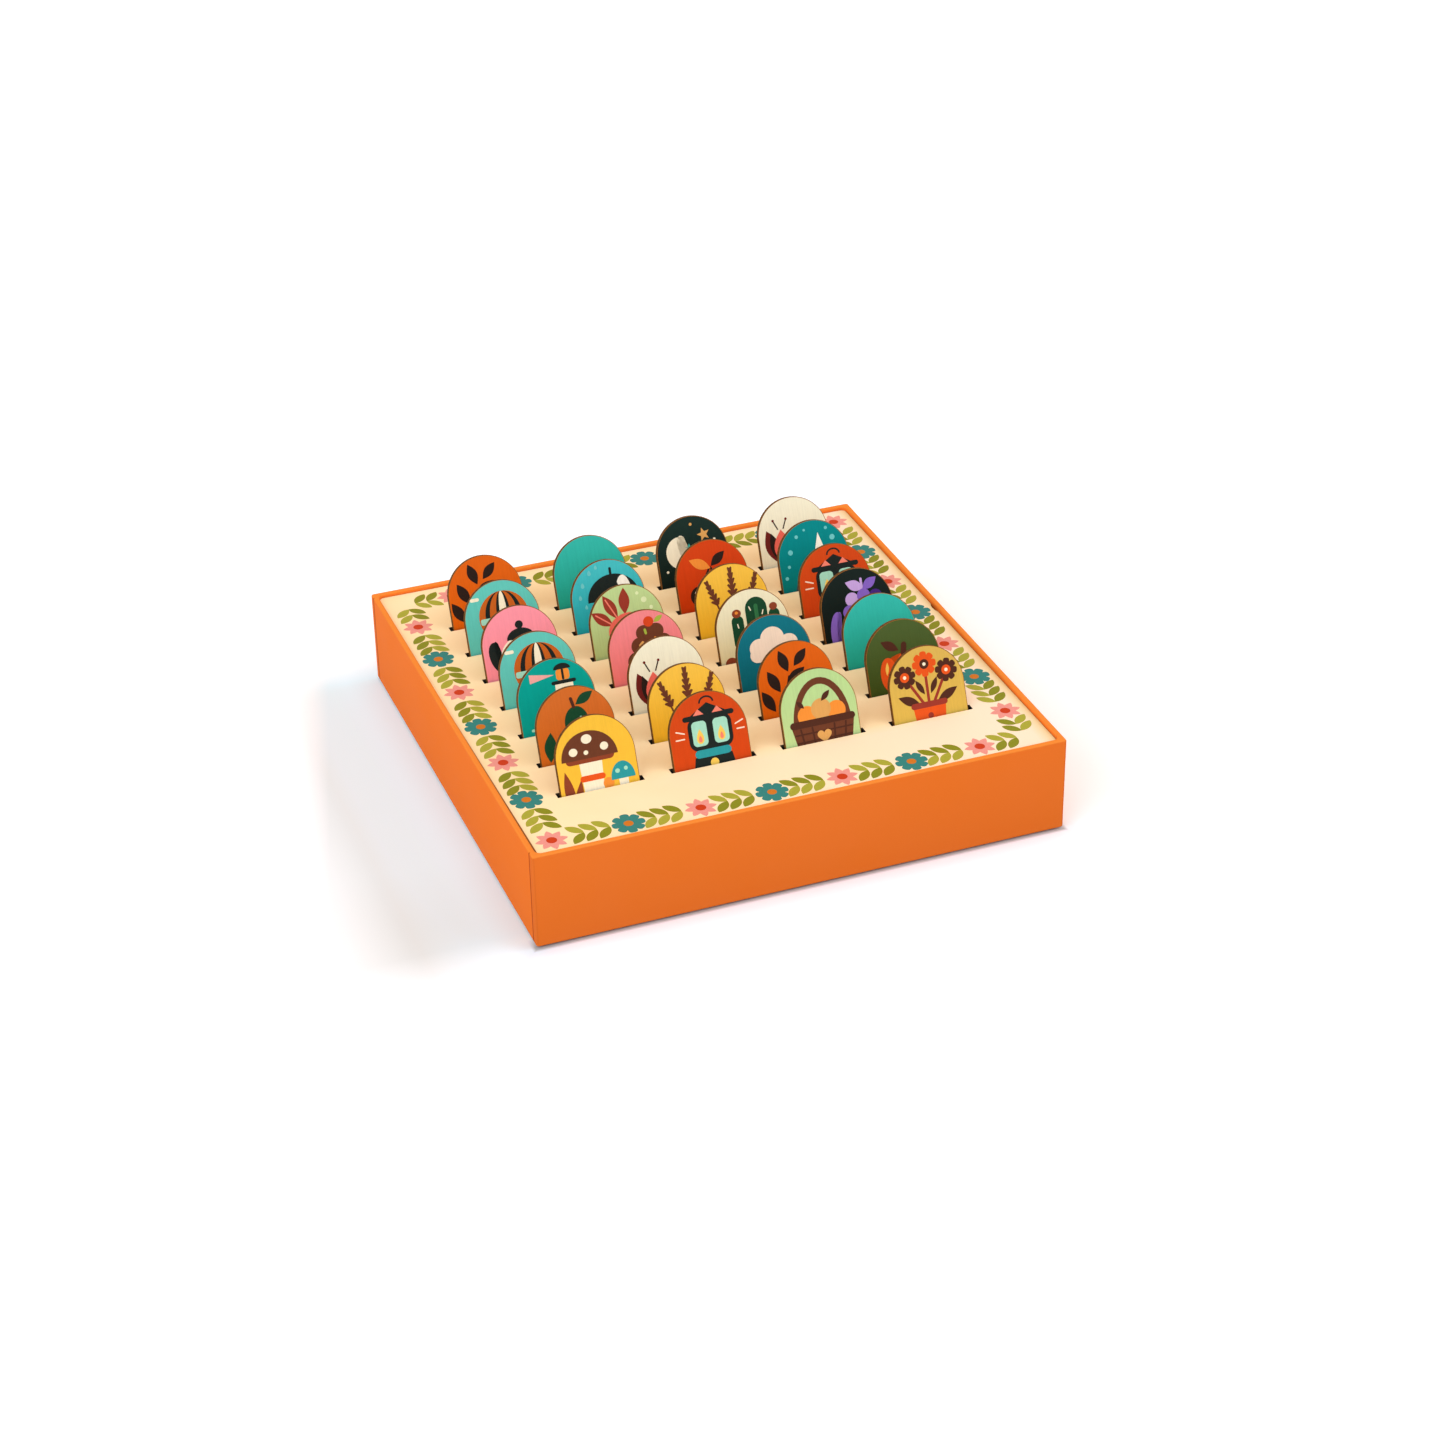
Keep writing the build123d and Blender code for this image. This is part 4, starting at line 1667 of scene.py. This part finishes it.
        def is_open(edge: bmesh.types.BMEdge) -> bool:
            """Says whether the edge is open and lies between the heights."""
            levels = [v.co.z for v in edge.verts]
            within = low * MM - NEAR < min(levels) and max(levels) < high * MM + NEAR
            return edge.is_boundary and within

        Element.EDGE.select(piece, is_open)
        bpy.ops.mesh.bridge_edge_loops()

    def base_sheet(self) -> bpy.types.Object:
        """The paper glued under the tray, cut just inside the rounded foot."""
        sheet = self.sheet(self.half - self.foot - self.base_gap, self.corner, 0.0)
        thicken(self.paper * MM)
        bpy.ops.object.mode_set(mode="OBJECT")
        sheet.name = "base_sheet_paper"
        return sheet


@dataclass(frozen=True)
class Lamp:
    """A broad even lamp.

    Attributes:
        name: Its name.
        towards: Where it is from the object.
        strength: Its light.
        spread: How wide it looks from the object, in degrees.
        colour: The red, green and blue of its light.
        distance: How far off it stands, in metres.
    """

    name: str
    towards: Triple
    strength: float
    spread: float
    colour: Triple = (0.81, 1.0, 1.21)
    distance: float = 2.0

    def build(self) -> None:
        """Puts the lamp up."""
        light = bpy.data.lights.new(self.name, "SUN")
        light.energy = self.strength
        light.color = self.colour
        light.angle = radians(self.spread)
        lamp = bpy.data.objects.new(self.name, light)
        lamp.rotation_mode = "QUATERNION"
        lamp.rotation_quaternion = Vector(self.towards).to_track_quat("Z", "Y")
        lamp.location = Vector(self.towards).normalized() * self.distance
        bpy.context.scene.collection.objects.link(lamp)


@dataclass
class Studio:
    """The plain pale floor, the soft light and the camera at the photograph's angle.

    Attributes:
        camera_place: The camera's place in millimetres.
        right: The camera's right.
        down: The camera's down.
        ahead: Where it looks.
        lens: Its focal length in millimetres.
        sensor: The width of its sensor.
        clip: The nearest and the furthest that it sees, in metres.
        sky: The red, green and blue light from all round.
        lamps: The lamps.
        floor_size: The floor's side, in metres.
        floor_drop: How far under the object the floor lies.
    """

    camera_place: Triple = (-496.67, -1348.31, 879.97)
    right: Triple = (0.9332, -0.35904, -0.01502)
    down: Triple = (-0.19686, -0.47581, -0.85723)
    ahead: Triple = (0.30063, 0.80293, -0.51471)
    lens: float = 79.79
    sensor: float = 36.0
    clip: Pair = (0.05, 50.0)
    sky: Triple = (0.78, 0.62, 0.43)
    lamps: tuple[Lamp, ...] = (
        Lamp("key_softbox", (0.85, -0.25, 0.72), 0.85, 45.0),
        Lamp("front_softbox", (-0.1, -0.56, 0.83), 0.62, 80.0),
        Lamp("left_reflector", (-0.90, -0.30, 0.30), 1.62, 70.0),
    )
    floor_size: float = 14.0
    floor_drop: float = 0.9 * MM

    def build(self) -> None:
        """Sets up the whole studio."""
        self.floor()
        self.world()
        for lamp in self.lamps:
            lamp.build()
        self.camera()
        bpy.context.scene.view_settings.view_transform = "Standard"

    def floor(self) -> None:
        """Lays the floor under the object."""
        choose()
        place = (0, 0, -self.floor_drop)
        bpy.ops.mesh.primitive_plane_add(size=self.floor_size, location=place)
        floor = bpy.context.object
        floor.name = "studio_floor"
        floor.data.materials.append(StudioFloor("studio_floor").material())

    def world(self) -> None:
        """Gives light from all round, and white where the camera sees past the floor."""
        world = bpy.data.worlds.new("studio_surround")
        world.use_nodes = True
        brush = Brush(world.node_tree)
        shown = brush.blend(brush.looked_at(), (*self.sky, 1.0), WHITE, (0.0, 1.0))
        brush.feed(world.node_tree.nodes["Background"], {"Color": shown})
        bpy.context.scene.world = world

    def camera(self) -> None:
        """Makes the camera and puts it where the photograph was taken."""
        data = bpy.data.cameras.new("photo_camera")
        data.lens = self.lens
        data.sensor_width = self.sensor
        data.clip_start, data.clip_end = self.clip
        camera = bpy.data.objects.new("photo_camera", data)
        axes = Matrix((self.right, self.down, self.ahead)).transposed()
        facing = axes @ Matrix.Diagonal((1, -1, -1))
        place = Vector(self.camera_place) * MM
        camera.matrix_world = Matrix.Translation(place) @ facing.to_4x4()
        bpy.context.scene.collection.objects.link(camera)
        bpy.context.scene.camera = camera


def dress_nodes(finishes: dict[str, Finish]) -> None:
    """Gives the CAD nodes that stay their finishes.

    Args:
        finishes: The finish of each node.
    """
    for name, finish in finishes.items():
        node = frame["nodes"][name]
        node.data.materials.clear()
        node.data.materials.append(finish.material())
        LOG.info("%s: %s", name, finish.name)


def main() -> None:
    """Builds the object's looks and the studio, in order."""
    logging.basicConfig(level=logging.INFO, format="%(name)s %(message)s")
    press = Press()
    dress_nodes(NODE_FINISHES)
    Wrap().build()
    CardSet(press).build()
    Garland(press).build()
    Studio().build()


if __name__ == "__main__":
    main()
